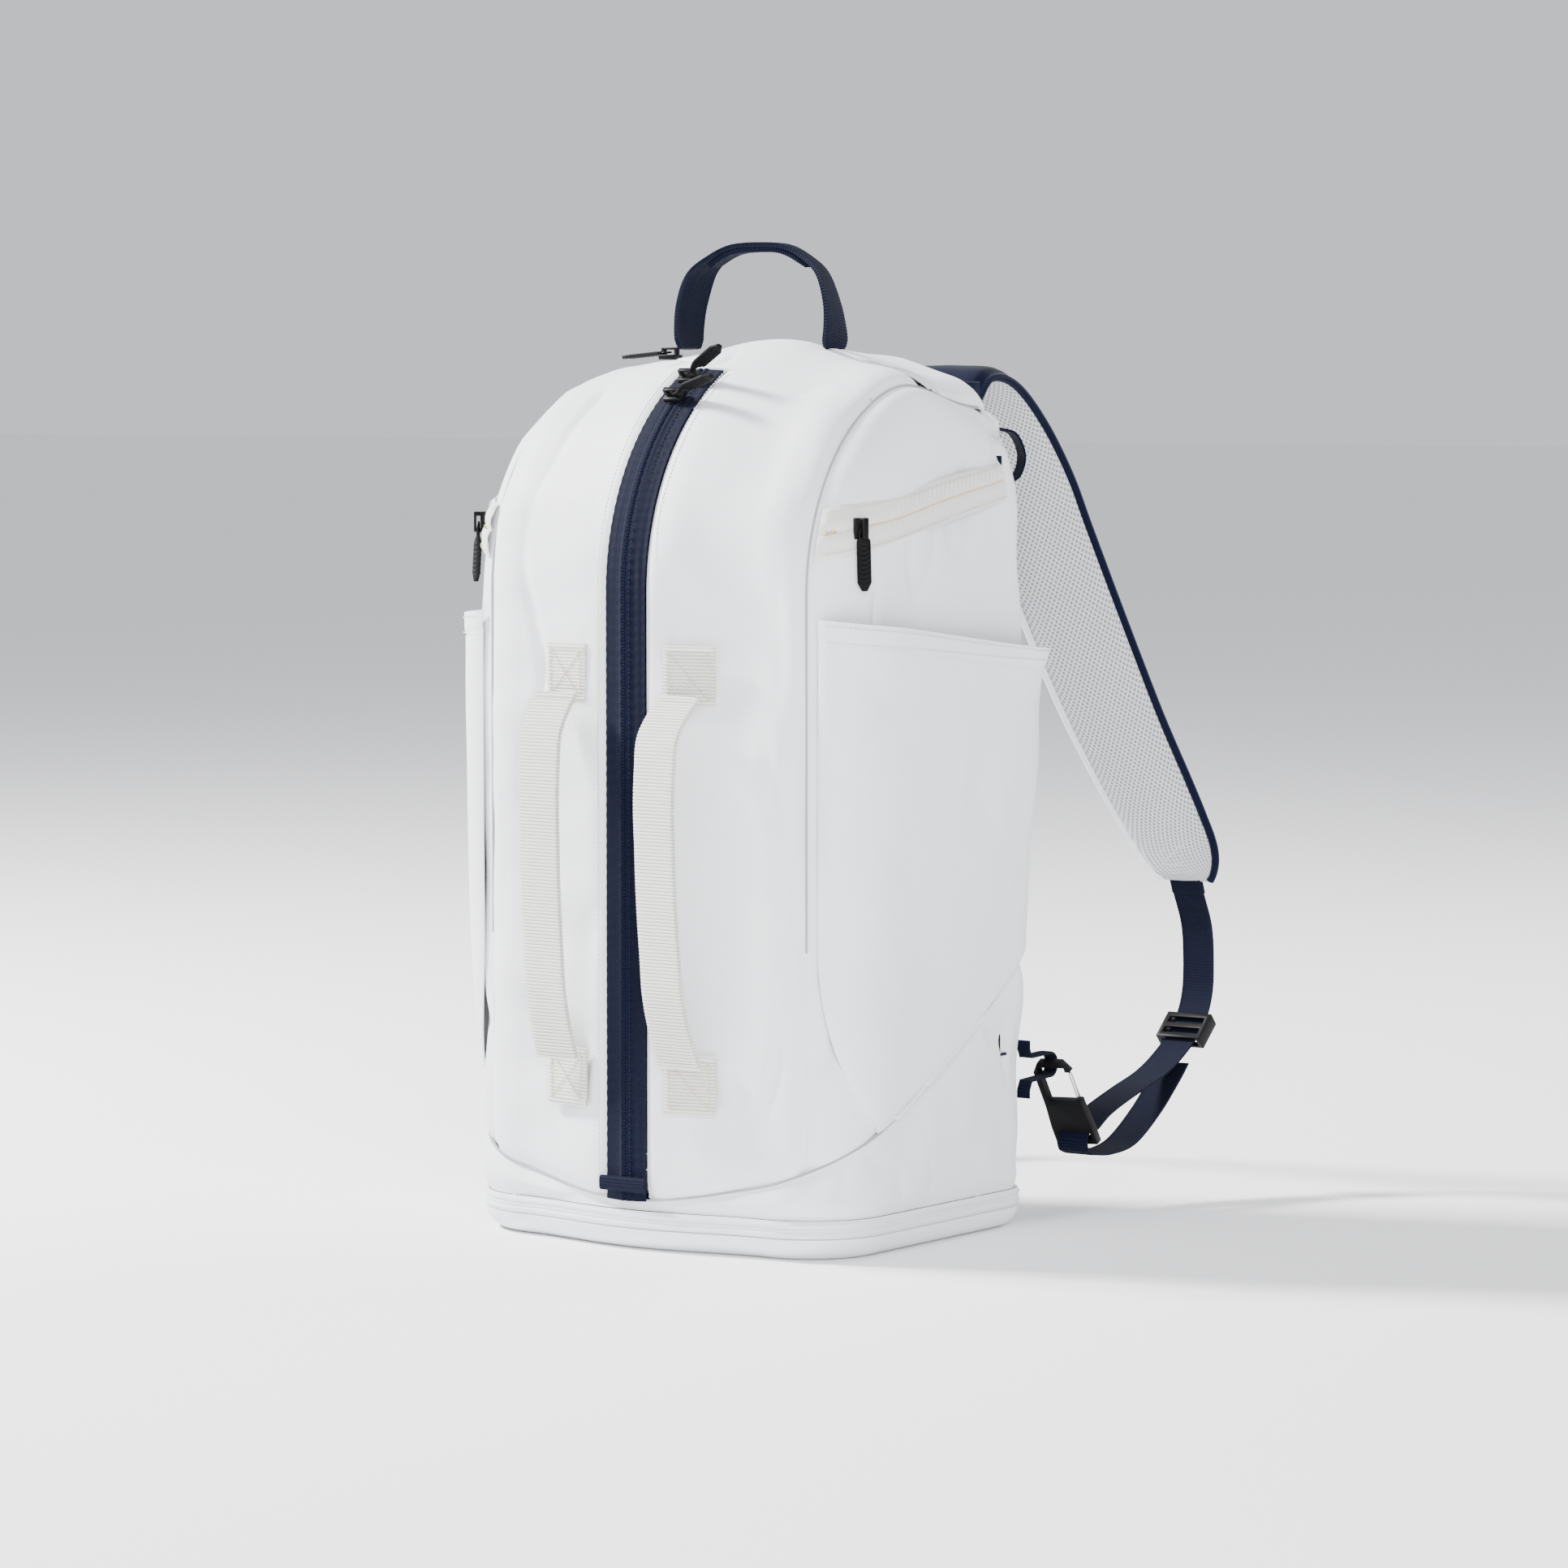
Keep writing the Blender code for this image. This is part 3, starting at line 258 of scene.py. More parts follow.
white_cloth = coated_cloth("white_coated_cloth", WHITE, 0.48)
navy_cloth = coated_cloth("navy_lining", NAVY, 0.85)
cream_webbing = ribbed_webbing("cream_grip_webbing", CREAM, painted_groove_shade=0.74)
navy_webbing = ribbed_webbing("navy_webbing", NAVY, pitch=0.0021, painted_groove_shade=0.55)
navy_tape = herringbone_tape("navy_zip_tape", NAVY)
white_tape = herringbone_tape("white_zip_tape", WHITE, painted_groove_shade=0.93)
cream_tape = herringbone_tape("cream_zip_tape", (0.77, 0.765, 0.74), painted_groove_shade=0.93)
white_mesh = spacer_mesh("pale_spacer_mesh", GREY_MESH)
rubber = moulded("pull_rubber", BLACK, 0.62)
plastic = moulded("hook_plastic", (0.0045, 0.0045, 0.005), 0.42, 700.0, 0.00005)
metal = moulded("gate_steel", (0.66, 0.67, 0.69), 0.22, 1200.0, 0.00002, 1.0)
enamel = moulded("slider_enamel", (0.004, 0.004, 0.0045), 0.36, 900.0, 0.00003)
board = moulded("stiffener_board", (0.09, 0.09, 0.10), 0.6)
white_thread = moulded("white_thread", (0.60, 0.61, 0.63), 0.7)
cream_thread = moulded("cream_thread", (0.56, 0.55, 0.51), 0.7)
navy_thread = moulded("navy_thread", (0.006, 0.010, 0.034), 0.8)
seam_shadow = moulded("seam_shadow", (0.34, 0.35, 0.37), 0.9)
orange_thread = moulded("pale_orange_coil", (0.80, 0.50, 0.30), 0.6)
brass = moulded("brass_stop", (0.55, 0.40, 0.14), 0.35, 900.0, 0.00003, 1.0)


# ------------------------------------------------------------ making pieces
def clear_selection():
    for item in list(bpy.context.selected_objects):
        item.select_set(False)


def apply_all(piece):
    """Apply every modifier of a piece, in order."""
    clear_selection()
    bpy.context.view_layer.objects.active = piece
    piece.select_set(True)
    for step in list(piece.modifiers):
        bpy.ops.object.modifier_apply(modifier=step.name)
    piece.select_set(False)


def settle(piece, finish, body="bag", replaced=(), slot=None, angle=40):
    """Finish a piece: its smooth shading, its material, its body and the nodes that it stands for."""
    clear_selection()
    bpy.context.view_layer.objects.active = piece
    piece.select_set(True)
    bpy.ops.object.shade_smooth_by_angle(angle=math.radians(angle))
    piece.select_set(False)
    piece.data.materials.clear()
    piece.data.materials.append(finish)
    if isinstance(body, tuple):
        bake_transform(piece)
    else:
        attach(piece, body)
    if replaced:
        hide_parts(*replaced)
    return piece


def lay(name, columns, rows, place, thickness, relief=None, inside=INSIDE, offset=-1.0, ring=False):
    """A cloth piece: a grid laid on place(u, v), raised by its relief and given its thickness."""
    clear_selection()
    bpy.ops.mesh.primitive_grid_add(x_subdivisions=columns, y_subdivisions=rows, size=1)
    piece = bpy.context.object
    piece.name = name
    mesh = piece.data
    flat = np.empty(len(mesh.vertices) * 3)
    mesh.vertices.foreach_get("co", flat)
    flat = flat.reshape(-1, 3)
    width = len(np.unique(np.round(flat[:, 0], 6)))
    height = len(flat) // width
    order = np.lexsort((np.round(flat[:, 0], 6), np.round(flat[:, 1], 6)))
    u = (flat[order, 0] + 0.5).reshape(height, width)
    v = (flat[order, 1] + 0.5).reshape(height, width)
    spots = np.stack(place(u, v), axis=-1)
    steps_u = np.linalg.norm(np.diff(spots, axis=1), axis=2)
    steps_v = np.linalg.norm(np.diff(spots, axis=0), axis=2)
    along_u = np.concatenate((np.zeros((height, 1)), np.cumsum(steps_u, axis=1)), axis=1)
    along_v = np.concatenate((np.zeros((1, width)), np.cumsum(steps_v, axis=0)), axis=0)
    normal = np.cross(np.gradient(spots, axis=1), np.gradient(spots, axis=0))
    normal /= np.maximum(np.linalg.norm(normal, axis=2, keepdims=True), 1e-12)
    flipped = float(np.sum(normal * (spots - np.asarray(inside)))) < 0
    if flipped:
        normal = -normal
    if relief is not None:
        edges = (along_u, along_u[:, -1:] - along_u, along_v, along_v[-1:, :] - along_v)
        spots = spots + normal * relief(u, v, spots, edges)[..., None]
    placed = np.empty_like(flat)
    placed[order] = spots.reshape(-1, 3)
    mesh.vertices.foreach_set("co", placed.ravel())
    cloth = np.empty((len(flat), 2))
    cloth[order, 0] = along_u.ravel()
    cloth[order, 1] = along_v.ravel()
    corners = np.empty(len(mesh.loops), dtype=np.int32)
    mesh.loops.foreach_get("vertex_index", corners)
    for old in list(mesh.uv_layers):
        mesh.uv_layers.remove(old)
    mesh.uv_layers.new(name="cloth").data.foreach_set("uv", cloth[corners].ravel())
    if flipped:
        mesh.flip_normals()
    mesh.update()
    if ring:
        weld(piece, 0.00005)
    if thickness:
        wall = piece.modifiers.new("wall", "SOLIDIFY")
        wall.thickness = thickness
        wall.offset = offset
        wall.use_even_offset = False
        apply_all(piece)
    return piece


def rework(mesh, *steps):
    """Run steps on a mesh in its editable form."""
    work = bmesh.new()
    work.from_mesh(mesh)
    for step in steps:
        step(work)
    work.to_mesh(mesh)
    work.free()


def weld(piece, distance):
    """Merge the points of a piece that lie together."""
    rework(piece.data, lambda work: bmesh.ops.remove_doubles(work, verts=work.verts, dist=distance))


def face_outwards(work):
    bmesh.ops.recalc_face_normals(work, faces=work.faces)


def close_rims(work):
    bmesh.ops.holes_fill(work, edges=[edge for edge in work.edges if edge.is_boundary])


def merge_flats(work):
    bmesh.ops.dissolve_limit(work, angle_limit=math.radians(3), verts=work.verts, edges=work.edges)


def folds(spots, seed, size=0.10):
    """Shallow creases: narrow valleys that wander and fade, between -1 and 0."""
    first = dents(spots * np.array((1.0, 1.0, 0.45)), size, seed)
    second = dents(spots, size * 1.7, seed + 100)
    valley = np.exp(-(first / 0.16) ** 2)
    return -valley * smooth_step(second * 1.3 + 0.25)


def dents(spots, size, seed):
    """Soft, uneven swells of filled cloth, between -1 and 1."""
    turn = np.random.default_rng(seed)
    total = np.zeros(spots.shape[:-1])
    for _ in range(7):
        direction = turn.normal(size=3)
        direction /= np.linalg.norm(direction)
        phase = turn.uniform(0, 2 * math.pi)
        total += np.sin(spots @ direction * (2 * math.pi / (size * turn.uniform(0.7, 1.6))) + phase)
    return total / 4.0


def rolled(edges, which, depth=0.0013, reach=0.0045):
    """How far a sewn edge is pulled in, at a distance from the edges that are named."""
    total = 0.0
    for number in which:
        total = total - depth * np.exp(-(edges[number] / reach) ** 2)
    return total


def rounded_copy(node, name, width, segments=2, angle=30):
    """A CAD node's own shape, with its edges rounded as a mould leaves them."""
    source = frame["nodes"][node]
    mesh = source.data.copy()
    piece = bpy.data.objects.new(name, mesh)
    bpy.context.scene.collection.objects.link(piece)
    weld(piece, 0.00001)
    rework(mesh, merge_flats)
    edge = piece.modifiers.new("edge", "BEVEL")
    edge.width = width
    edge.segments = segments
    edge.limit_method = "ANGLE"
    edge.angle_limit = math.radians(angle)
    apply_all(piece)
    return piece


def rounded_piece(node, suffix, width, segments, finish, body, slot, angle=40):
    """A node's rounded copy, finished and standing for it."""
    piece = rounded_copy(node, "%s_%s" % (node, suffix), width, segments)
    return settle(piece, finish, body, (node,), slot, angle)


def stitch_row(name, points, up, thread, body="bag", pitch=0.0030, length=0.0021, thick=0.00045):
    """A row of stitches laid along points, each a small closed spindle."""
    route = [Vector(p) for p in points]
    lengths = [0.0]
    for a, b in zip(route, route[1:]):
        lengths.append(lengths[-1] + (b - a).length)
    verts, faces = [], []
    count = max(1, int(lengths[-1] / pitch))
    for number in range(count):
        at = (number + 0.5) / count * lengths[-1]
        spot = max(i for i in range(len(lengths) - 1) if lengths[i] <= at)
        span = lengths[spot + 1] - lengths[spot]
        middle = route[spot].lerp(route[spot + 1], (at - lengths[spot]) / max(span, 1e-9))
        along = (route[spot + 1] - route[spot]).normalized()
        rise = Vector(up(middle) if callable(up) else up).normalized()
        side = along.cross(rise).normalized()
        base = len(verts)
        middle = middle + rise * thick * 0.3
        for share, fat in ((-0.5, 0.35), (-0.25, 1.0), (0.25, 1.0), (0.5, 0.35)):
            ring = middle + along * share * length
            for turn in range(5):
                angle = 2 * math.pi * turn / 5
                verts.append(ring + (side * math.cos(angle) + rise * math.sin(angle)) * thick * fat)
        for step in range(3):
            for turn in range(5):
                after = (turn + 1) % 5
                faces.append((base + step * 5 + turn, base + step * 5 + after,
                              base + step * 5 + 5 + after, base + step * 5 + 5 + turn))
        faces.append(tuple(base + turn for turn in reversed(range(5))))
        faces.append(tuple(base + 15 + turn for turn in range(5)))
    mesh = bpy.data.meshes.new(name)
    mesh.from_pydata([tuple(p) for p in verts], [], faces)
    piece = bpy.data.objects.new(name, mesh)
    bpy.context.scene.collection.objects.link(piece)
    rework(mesh, face_outwards)
    return settle(piece, thread, body)


def sideways(point):
    """The outward direction of the bag's side at a point."""
    return (point.x, 0.0, 0.0)


# ------------------------------------------------------------ the bag's form
def inset(x, radius):
    beyond = np.clip(np.abs(x) - (HALF - radius), 0.0, radius)
    return radius - np.sqrt(np.maximum(radius ** 2 - beyond ** 2, 0.0))


def crown(x):
    share = np.minimum(1.0, np.abs(x) / FLAT_X)
    return CROWN * (1 - share ** 2) ** 2


def front_y(x):
    return -BACK_Y + inset(x, FRONT_ROUND) - crown(x)


def top_z(x):
    return TOP_Z - inset(x, FRONT_ROUND) + crown(x)


def smooth_step(value):
    value = np.clip(value, 0, 1)
    return value * value * (3 - 2 * value)


def slump(x, y, z):
    """The cloth sinks where the top meets the sides at the back, for nothing stiffens it there."""
    corner = smooth_step((np.abs(x) - 0.045) / 0.115) * smooth_step((y + 0.03) / 0.155)
    corner = corner * smooth_step((z - 0.47) / 0.12)
    return x - np.sign(x) * SLUMP_IN * corner, y - SLUMP_FORWARD * corner, z - SLUMP_DOWN * corner


def dome(x, angle):
    deep = DOME_Y - front_y(x)
    high = top_z(x) - SHOULDER_Z
    return x, DOME_Y - deep * np.cos(angle), SHOULDER_Z + high * np.sin(angle)


def smile_z(x, y):
    """The seam between the boot panel and the panels above it."""
    back = np.maximum(-CROWN, y + BACK_Y)
    return BOOT_MIDDLE_Z + 1.09 * x ** 2 + 0.25 * back + 1.2 * back * np.abs(back)


def round_side(along, stand):
    """A point round the side, from the start of the front corner to the end of the back one."""
    first = along / FRONT_ROUND
    last = (along - FRONT_ARC - SIDE_FLAT) / BACK_ROUND
    reach_front = FRONT_ROUND + stand
    reach_back = BACK_ROUND + stand
    x = np.where(along < FRONT_ARC, FLAT_X + reach_front * np.sin(first), HALF + stand)
    y = np.where(along < FRONT_ARC, -BACK_Y + FRONT_ROUND - reach_front * np.cos(first),
                 -BACK_Y + FRONT_ROUND + along - FRONT_ARC)
    past = along > FRONT_ARC + SIDE_FLAT
    x = np.where(past, HALF - BACK_ROUND + reach_back * np.cos(last), x)
    y = np.where(past, BACK_Y - BACK_ROUND + reach_back * np.sin(last), y)
    return x, y


ROUND_END = FLAT_X + FRONT_ARC + SIDE_FLAT + BACK_ARC
RING_HALF = ROUND_END + HALF - BACK_ROUND


def perimeter(s, grow):
    """A point round the bag at one height; s is measured from the middle of the front."""
    along = np.abs(s)
    side_x, side_y = round_side(np.clip(along - FLAT_X, 0, ROUND_END - FLAT_X), grow)
    x = np.where(along < FLAT_X, along, side_x)
    y = np.where(along < FLAT_X, -BACK_Y - crown(along) - grow, side_y)
    behind = along > ROUND_END
    x = np.where(behind, HALF - BACK_ROUND - (along - ROUND_END), x)
    y = np.where(behind, BACK_Y + grow, y)
    return x * np.sign(s), y


def across_x(u, start, end):
    """x across the front, from a signed start to a signed end, by length along the cloth."""
    s = start + (end - start) * u
    size = np.abs(s)
    bend = np.clip((size - FLAT_X) / FRONT_ROUND, 0, math.pi / 2)
    return np.sign(s) * np.where(size <= FLAT_X, size, FLAT_X + FRONT_ROUND * np.sin(bend))


SEAM_LENGTH = FLAT_X + FRONT_ROUND * math.asin((SEAM_X - FLAT_X) / FRONT_ROUND)


def up_front(x, v, low, end_angle):
    """A point up the front and over the dome; v runs by length."""
    straight = SHOULDER_Z - low
    curved = ROOF_RADIUS * end_angle
    run = v * (straight + curved)
    angle = np.clip((run - straight) / ROOF_RADIUS, 0, None)
    _, y, z = dome(x, angle)
    below = run < straight
    return x, np.where(below, front_y(x), y), np.where(below, low + run, z)


# ------------------------------------------------------------ panels
def front_panel(side):
    name = "front_panel_" + hand_of(side)

    def place(u, v):
        x = across_x(u, side * (ZIP_HALF + 2 * SEAM), side * (SEAM_LENGTH - SEAM))
        low = smile_z(x, front_y(x)) + SEAM
        return slump(*up_front(x, v, low, PANEL_END))

    def relief(u, v, spots, edges):
        swell = 0.0040 * dents(spots, 0.14, 5 + side) + 0.0018 * dents(spots, 0.06, 9 + side)
        swell = swell + 0.0040 * folds(spots, 15 + side)
        calm = np.clip(np.minimum.reduce(edges) / 0.02, 0, 1)
        lip = 0.0012 * np.exp(-((edges[0] - 0.0045) / 0.0028) ** 2)
        gather = 0.0005 * np.sin(edges[2] / 0.021 + 2 * dents(spots, 0.09, 3)) * np.exp(-edges[1] / 0.018)
        return swell * calm + lip + gather + rolled(edges, (0, 1, 2), 0.0034, 0.0065)

    piece = lay(name + "_cloth", 64, 190, place, CLOTH, relief)
    return settle(piece, white_cloth, "bag", (name,), "white_fabric")


def top_front_panel():
    def place(u, v):
        x = across_x(u, -SEAM_LENGTH + SEAM, SEAM_LENGTH - SEAM)
        arc = ROOF_RADIUS * (math.pi / 2 - ZIP_TOP_ANGLE)
        flat = REAR_ZIP_FRONT - SEAM - DOME_Y
        run = v * (arc + flat)
        bend = np.clip(run / ROOF_RADIUS, 0, math.pi / 2 - ZIP_TOP_ANGLE + ZIP_TOP_LAP)
        _, y, z = dome(x, PANEL_END + bend)
        return slump(x, np.where(run > arc, DOME_Y + run - arc, y), z)

    def relief(u, v, spots, edges):
        calm = np.clip(np.minimum.reduce(edges) / 0.02, 0, 1)
        swell = 0.0030 * dents(spots, 0.07, 21) + 0.0030 * folds(spots, 25, 0.06)
        return swell * calm + rolled(edges, (0, 1, 3), 0.0034, 0.0065)

    piece = lay("top_panel_cloth", 120, 40, place, CLOTH, relief)
    return settle(piece, white_cloth, "bag", ("top_panel",), "white_fabric")


def top_rear_panel():
    def place(u, v):
        x = across_x(u, -SEAM_LENGTH + SEAM, SEAM_LENGTH - SEAM)
        fall = crown(x) * 0.7
        start = REAR_ZIP_BACK + SEAM
        flat = BACK_Y - inset(x, BACK_ROUND) - TOP_BACK_ROUND
        arc = TOP_BACK_ROUND * math.pi / 2
        total = (flat - start) + arc + (TOP_Z - TOP_BACK_ROUND - BACK_TOP)
        run = v * total
        share = np.clip(run / (flat - start), 0, 1)
        high = top_z(x) - fall * (start + (flat - start) * share - DOME_Y) / (flat - DOME_Y)
        angle = np.clip((run - (flat - start)) / TOP_BACK_ROUND, 0, math.pi / 2)
        drop = np.clip(run - (flat - start) - arc, 0, None)
        y = start + (flat - start) * share + TOP_BACK_ROUND * np.sin(angle)
        end = BACK_TOP + SEAM
        z = high - TOP_BACK_ROUND * (1 - np.cos(angle))
        bottom = drop / np.maximum(total - (flat - start) - arc, 1e-6)
        return slump(x, y, z + (end - z) * np.clip(bottom, 0, 1))

    def relief(u, v, spots, edges):
        calm = np.clip(np.minimum.reduce(edges) / 0.015, 0, 1)
        swell = 0.0016 * dents(spots, 0.06, 23) * calm
        return swell + rolled(edges, ALL_EDGES, 0.0028, 0.0055)

    piece = lay("top_panel_rear_cloth", 120, 44, place, CLOTH, relief)
    return settle(piece, white_cloth, "bag", ("top_panel_rear",), "white_fabric")


def within(x, y, z):
    """Whether a point of the side view lies inside the bag's outline at x."""
    deep = DOME_Y - front_y(x)
    high = top_z(x) - SHOULDER_Z
    rise = np.clip((z - SHOULDER_Z) / high, 0, None)
    ahead = np.clip((DOME_Y - y) / deep, 0, None)
    low_part = (z <= SHOULDER_Z) & (y >= front_y(x) - 1e-9)
    dome_part = (z > SHOULDER_Z) & (rise ** 2 + ahead ** 2 <= 1 + 1e-9)
    return (low_part | dome_part) & (y <= BACK_Y - inset(x, BACK_ROUND) + 1e-9)


def side_x(y, z):
    """How far out the side stands at a point of the side view."""
    low = np.full(y.shape, SEAM_X - 0.002)
    high = np.full(y.shape, HALF)
    full = within(high, y, z)
    for _ in range(18):
        middle = (low + high) / 2
        inside = within(middle, y, z)
        low = np.where(inside, middle, low)
        high = np.where(inside, high, middle)
    return np.where(full, HALF, low)


def side_panel(side):
    name = "side_panel_" + hand_of(side)
    edge = SEAM_X + SEAM

    def place(u, v):
        rim = np.full(u.shape, edge)
        low_front = smile_z(rim, front_y(rim)) + SEAM
        straight = SHOULDER_Z - low_front
        deep = DOME_Y - front_y(rim)
        high = top_z(rim) - SHOULDER_Z
        arc = math.pi / 4 * (deep + high)
        flat = BACK_Y * 0.93 - DOME_Y
        run = v * (straight + arc + flat)
        angle = np.clip((run - straight) / arc, 0, 1) * math.pi / 2
        y0 = DOME_Y - deep * np.cos(angle) + np.clip(run - straight - arc, 0, None)
        z0 = np.where(run < straight, low_front + run, SHOULDER_Z + high * np.sin(angle))
        back = BACK_Y - inset(edge, BACK_ROUND)
        low_back = smile_z(rim, back * np.ones(u.shape)) + SEAM
        z1 = low_back + (SHOULDER_Z + high - 0.004 - low_back) * v
        lean = u + 0.06 * np.sin(math.pi * u) * np.sin(math.pi * v)
        y = y0 + (back - y0) * lean
        z = z0 + (z1 - z0) * lean
        lowest = smile_z(side_x(y, 0 * y + 0.2), y) + SEAM
        z = z + (lowest - (low_front + (low_back - low_front) * lean)) * (1 - v) ** 3 * (v > 0)
        return slump(side * side_x(y, z), y, z)

    def relief(u, v, spots, edges):
        swell = 0.0036 * dents(spots, 0.09, 31 + side) + 0.0040 * folds(spots, 35 + side, 0.07)
        calm = np.clip(np.minimum.reduce(edges) / 0.02, 0, 1)
        return swell * calm + rolled(edges, ALL_EDGES, 0.0034, 0.0065)

    piece = lay(name + "_cloth", 90, 150, place, CLOTH, relief)
    return settle(piece, white_cloth, "bag", (name,), "white_fabric")


def boot_panel():
    end = ROUND_END - BACK_ROUND * 0.20

    def place(u, v):
        s = (2 * u - 1) * end
        x, y = perimeter(s, 0.0)
        return x, y, BOOT_LOW + (smile_z(x, y) - SEAM - BOOT_LOW) * v

    def relief(u, v, spots, edges):
        calm = np.clip(np.minimum(edges[2], edges[3]) / 0.015, 0, 1)
        swell = 0.0030 * dents(spots, 0.09, 41) + 0.0014 * dents(spots, 0.045, 44)
        swell = swell + 0.0030 * folds(spots, 45, 0.06)
        return swell * calm + rolled(edges, (0, 1), 0.0012, 0.0028) + rolled(edges, (2, 3), 0.0034, 0.0060)

    piece = lay("boot_panel_cloth", 260, 40, place, CLOTH, relief)
    return settle(piece, white_cloth, "bag", ("boot_panel",), "white_fabric")


def base_ring():
    """The base zip: two rolled lips of tape with the coil between them, right round the bag."""
    def place(u, v):
        z = RING_LOW - SEAM + (BOOT_LOW - RING_LOW + SEAM) * v
        under = np.clip(BASE_ROUND - z, 0, BASE_ROUND)
        grow = -(BASE_ROUND - np.sqrt(BASE_ROUND ** 2 - under ** 2))
        x, y = perimeter((2 * u - 1) * RING_HALF, grow)
        return x, y, z

    def relief(u, v, spots, edges):
        lips = 0.0014 * (np.exp(-((v - 0.24) / 0.13) ** 2) + np.exp(-((v - 0.76) / 0.13) ** 2))
        coil = 0.0009 * np.exp(-((v - 0.5) / 0.05) ** 2)
        return lips + coil - 0.0012

    piece = lay("base_zip_tape_cloth", 420, 26, place, CLOTH, relief, ring=True)
    return settle(piece, white_tape, "bag", ("base_zip_tape",), "white_zip")


def base_panel():
    """The base panel: its rounded rim, and the flat underside drawn together at its middle."""
    rim_share = 0.35

    def place(u, v):
        angle = math.pi / 2 * np.clip(v / rim_share, 0, 1)
        z = np.where(v > rim_share, 0.0, BASE_TOP * (1 - np.sin(angle)))
        under = np.clip(BASE_ROUND - z, 0, BASE_ROUND)
        grow = -(BASE_ROUND - np.sqrt(np.maximum(BASE_ROUND ** 2 - under ** 2, 0)))
        x, y = perimeter((2 * u - 1) * RING_HALF, grow)
        shrink = 1 - np.clip((v - rim_share) / 0.65, 0, 1)
        return x * shrink, y * shrink, z

    piece = lay("base_panel_cloth", 240, 40, place, BASE_CLOTH, ring=True)
    return settle(piece, white_cloth, "bag", ("base_panel",), "white_fabric")


def back_panel():
    def place(u, v):
        x = (2 * u - 1) * (SEAM_X - 2 * SEAM)
        z = BOOT_LOW + SEAM + (BACK_TOP - BOOT_LOW - 2 * SEAM) * v
        return slump(x, BACK_Y - inset(x, BACK_ROUND), z)

    def relief(u, v, spots, edges):
        return 0.0004 * dents(spots, 0.12, 51) + rolled(edges, ALL_EDGES, 0.0012, 0.0030)

    piece = lay("back_panel_cloth", 60, 110, place, CLOTH, relief)
    return settle(piece, navy_cloth, "bag", ("back_panel",), "navy_fabric")


# ------------------------------------------------------------ pockets
POCKET_START = FRONT_ROUND * (math.radians(33) + 0.10)
POCKET_END = FRONT_ARC + SIDE_FLAT + BACK_ARC * 0.62


def pocket_point(side, u, v, out=0.0):
    """A point of a slip pocket's cloth; v = 1 is its hem."""
    foot = 0.048 * (1 - np.clip(v / 0.42, 0, 1)) ** 2.2
    start = POCKET_START + foot
    along = start + (POCKET_END - start) * u
    edge = 1 - (2 * u - 1) ** 6
    rise = np.minimum(1.0, 0.12 + v * 1.4) * smooth_step(v / 0.03)
    gape = 0.0085 * np.exp(-((u - 0.90) / 0.13) ** 2) * np.clip(v, 0, 1) ** 8
    stand = 0.0008 + 0.0022 * smooth_step(v / 0.03) + 0.0137 * edge * rise + gape + out
    x, y = round_side(along, stand)
    _, base_y = round_side(along, 0.0 * along)
    low = smile_z(x, base_y) + 0.0008
    high = 0.425 - 0.029 * u
    return side * x, y, low + (high - low) * v


def pocket(side):
    name = "side_pocket_" + hand_of(side)

    def relief(u, v, spots, edges):
        calm = np.clip(np.minimum.reduce(edges) / 0.05, 0, 1) ** 1.5
        swell = 0.0036 * dents(spots, 0.14, 61 + side) + 0.0014 * dents(spots, 0.05, 66)
        swell = swell + 0.0030 * folds(spots, 65 + side)
        hem = 0.0007 * (1 / (1 + np.exp((edges[3] - 0.013) / 0.0006)))
        crease = -0.0009 * np.exp(-((edges[3] - 0.0136) / 0.0012) ** 2)
        return swell * calm + hem + crease + rolled(edges, (0, 1, 2), 0.0011, 0.0035)

    piece = lay(name + "_cloth", 110, 170, lambda u, v: pocket_point(side, u, v), POCKET_CLOTH, relief)
    settle(piece, white_cloth, "bag", (name,), "white_fabric")

    def lining_place(u, v):
        return pocket_point(side, 0.04 + 0.93 * u, 0.94 + 0.057 * v, -0.0050)

    lining = lay(name + "_lining", 60, 12, lining_place, 0.0005)
    settle(lining, navy_cloth, "bag", (), "navy_fabric")
    for label, drop in (("hem_low", 0.0118), ("hem_high", 0.0030)):
        shares = np.linspace(0.02, 0.98, 70)
        height = 0.30
        row = pocket_point(side, shares, 1 - drop / height, 0.0012)
        points = list(zip(*row))
        stitch_row("%s_%s_stitches" % (name, label), points, sideways, white_thread)
    ups = np.linspace(0.05, 0.985, 60)
    row = pocket_point(side, np.full(ups.shape, 0.975), ups, 0.0008)
    stitch_row(name + "_rear_stitches", list(zip(*row)), sideways, white_thread)


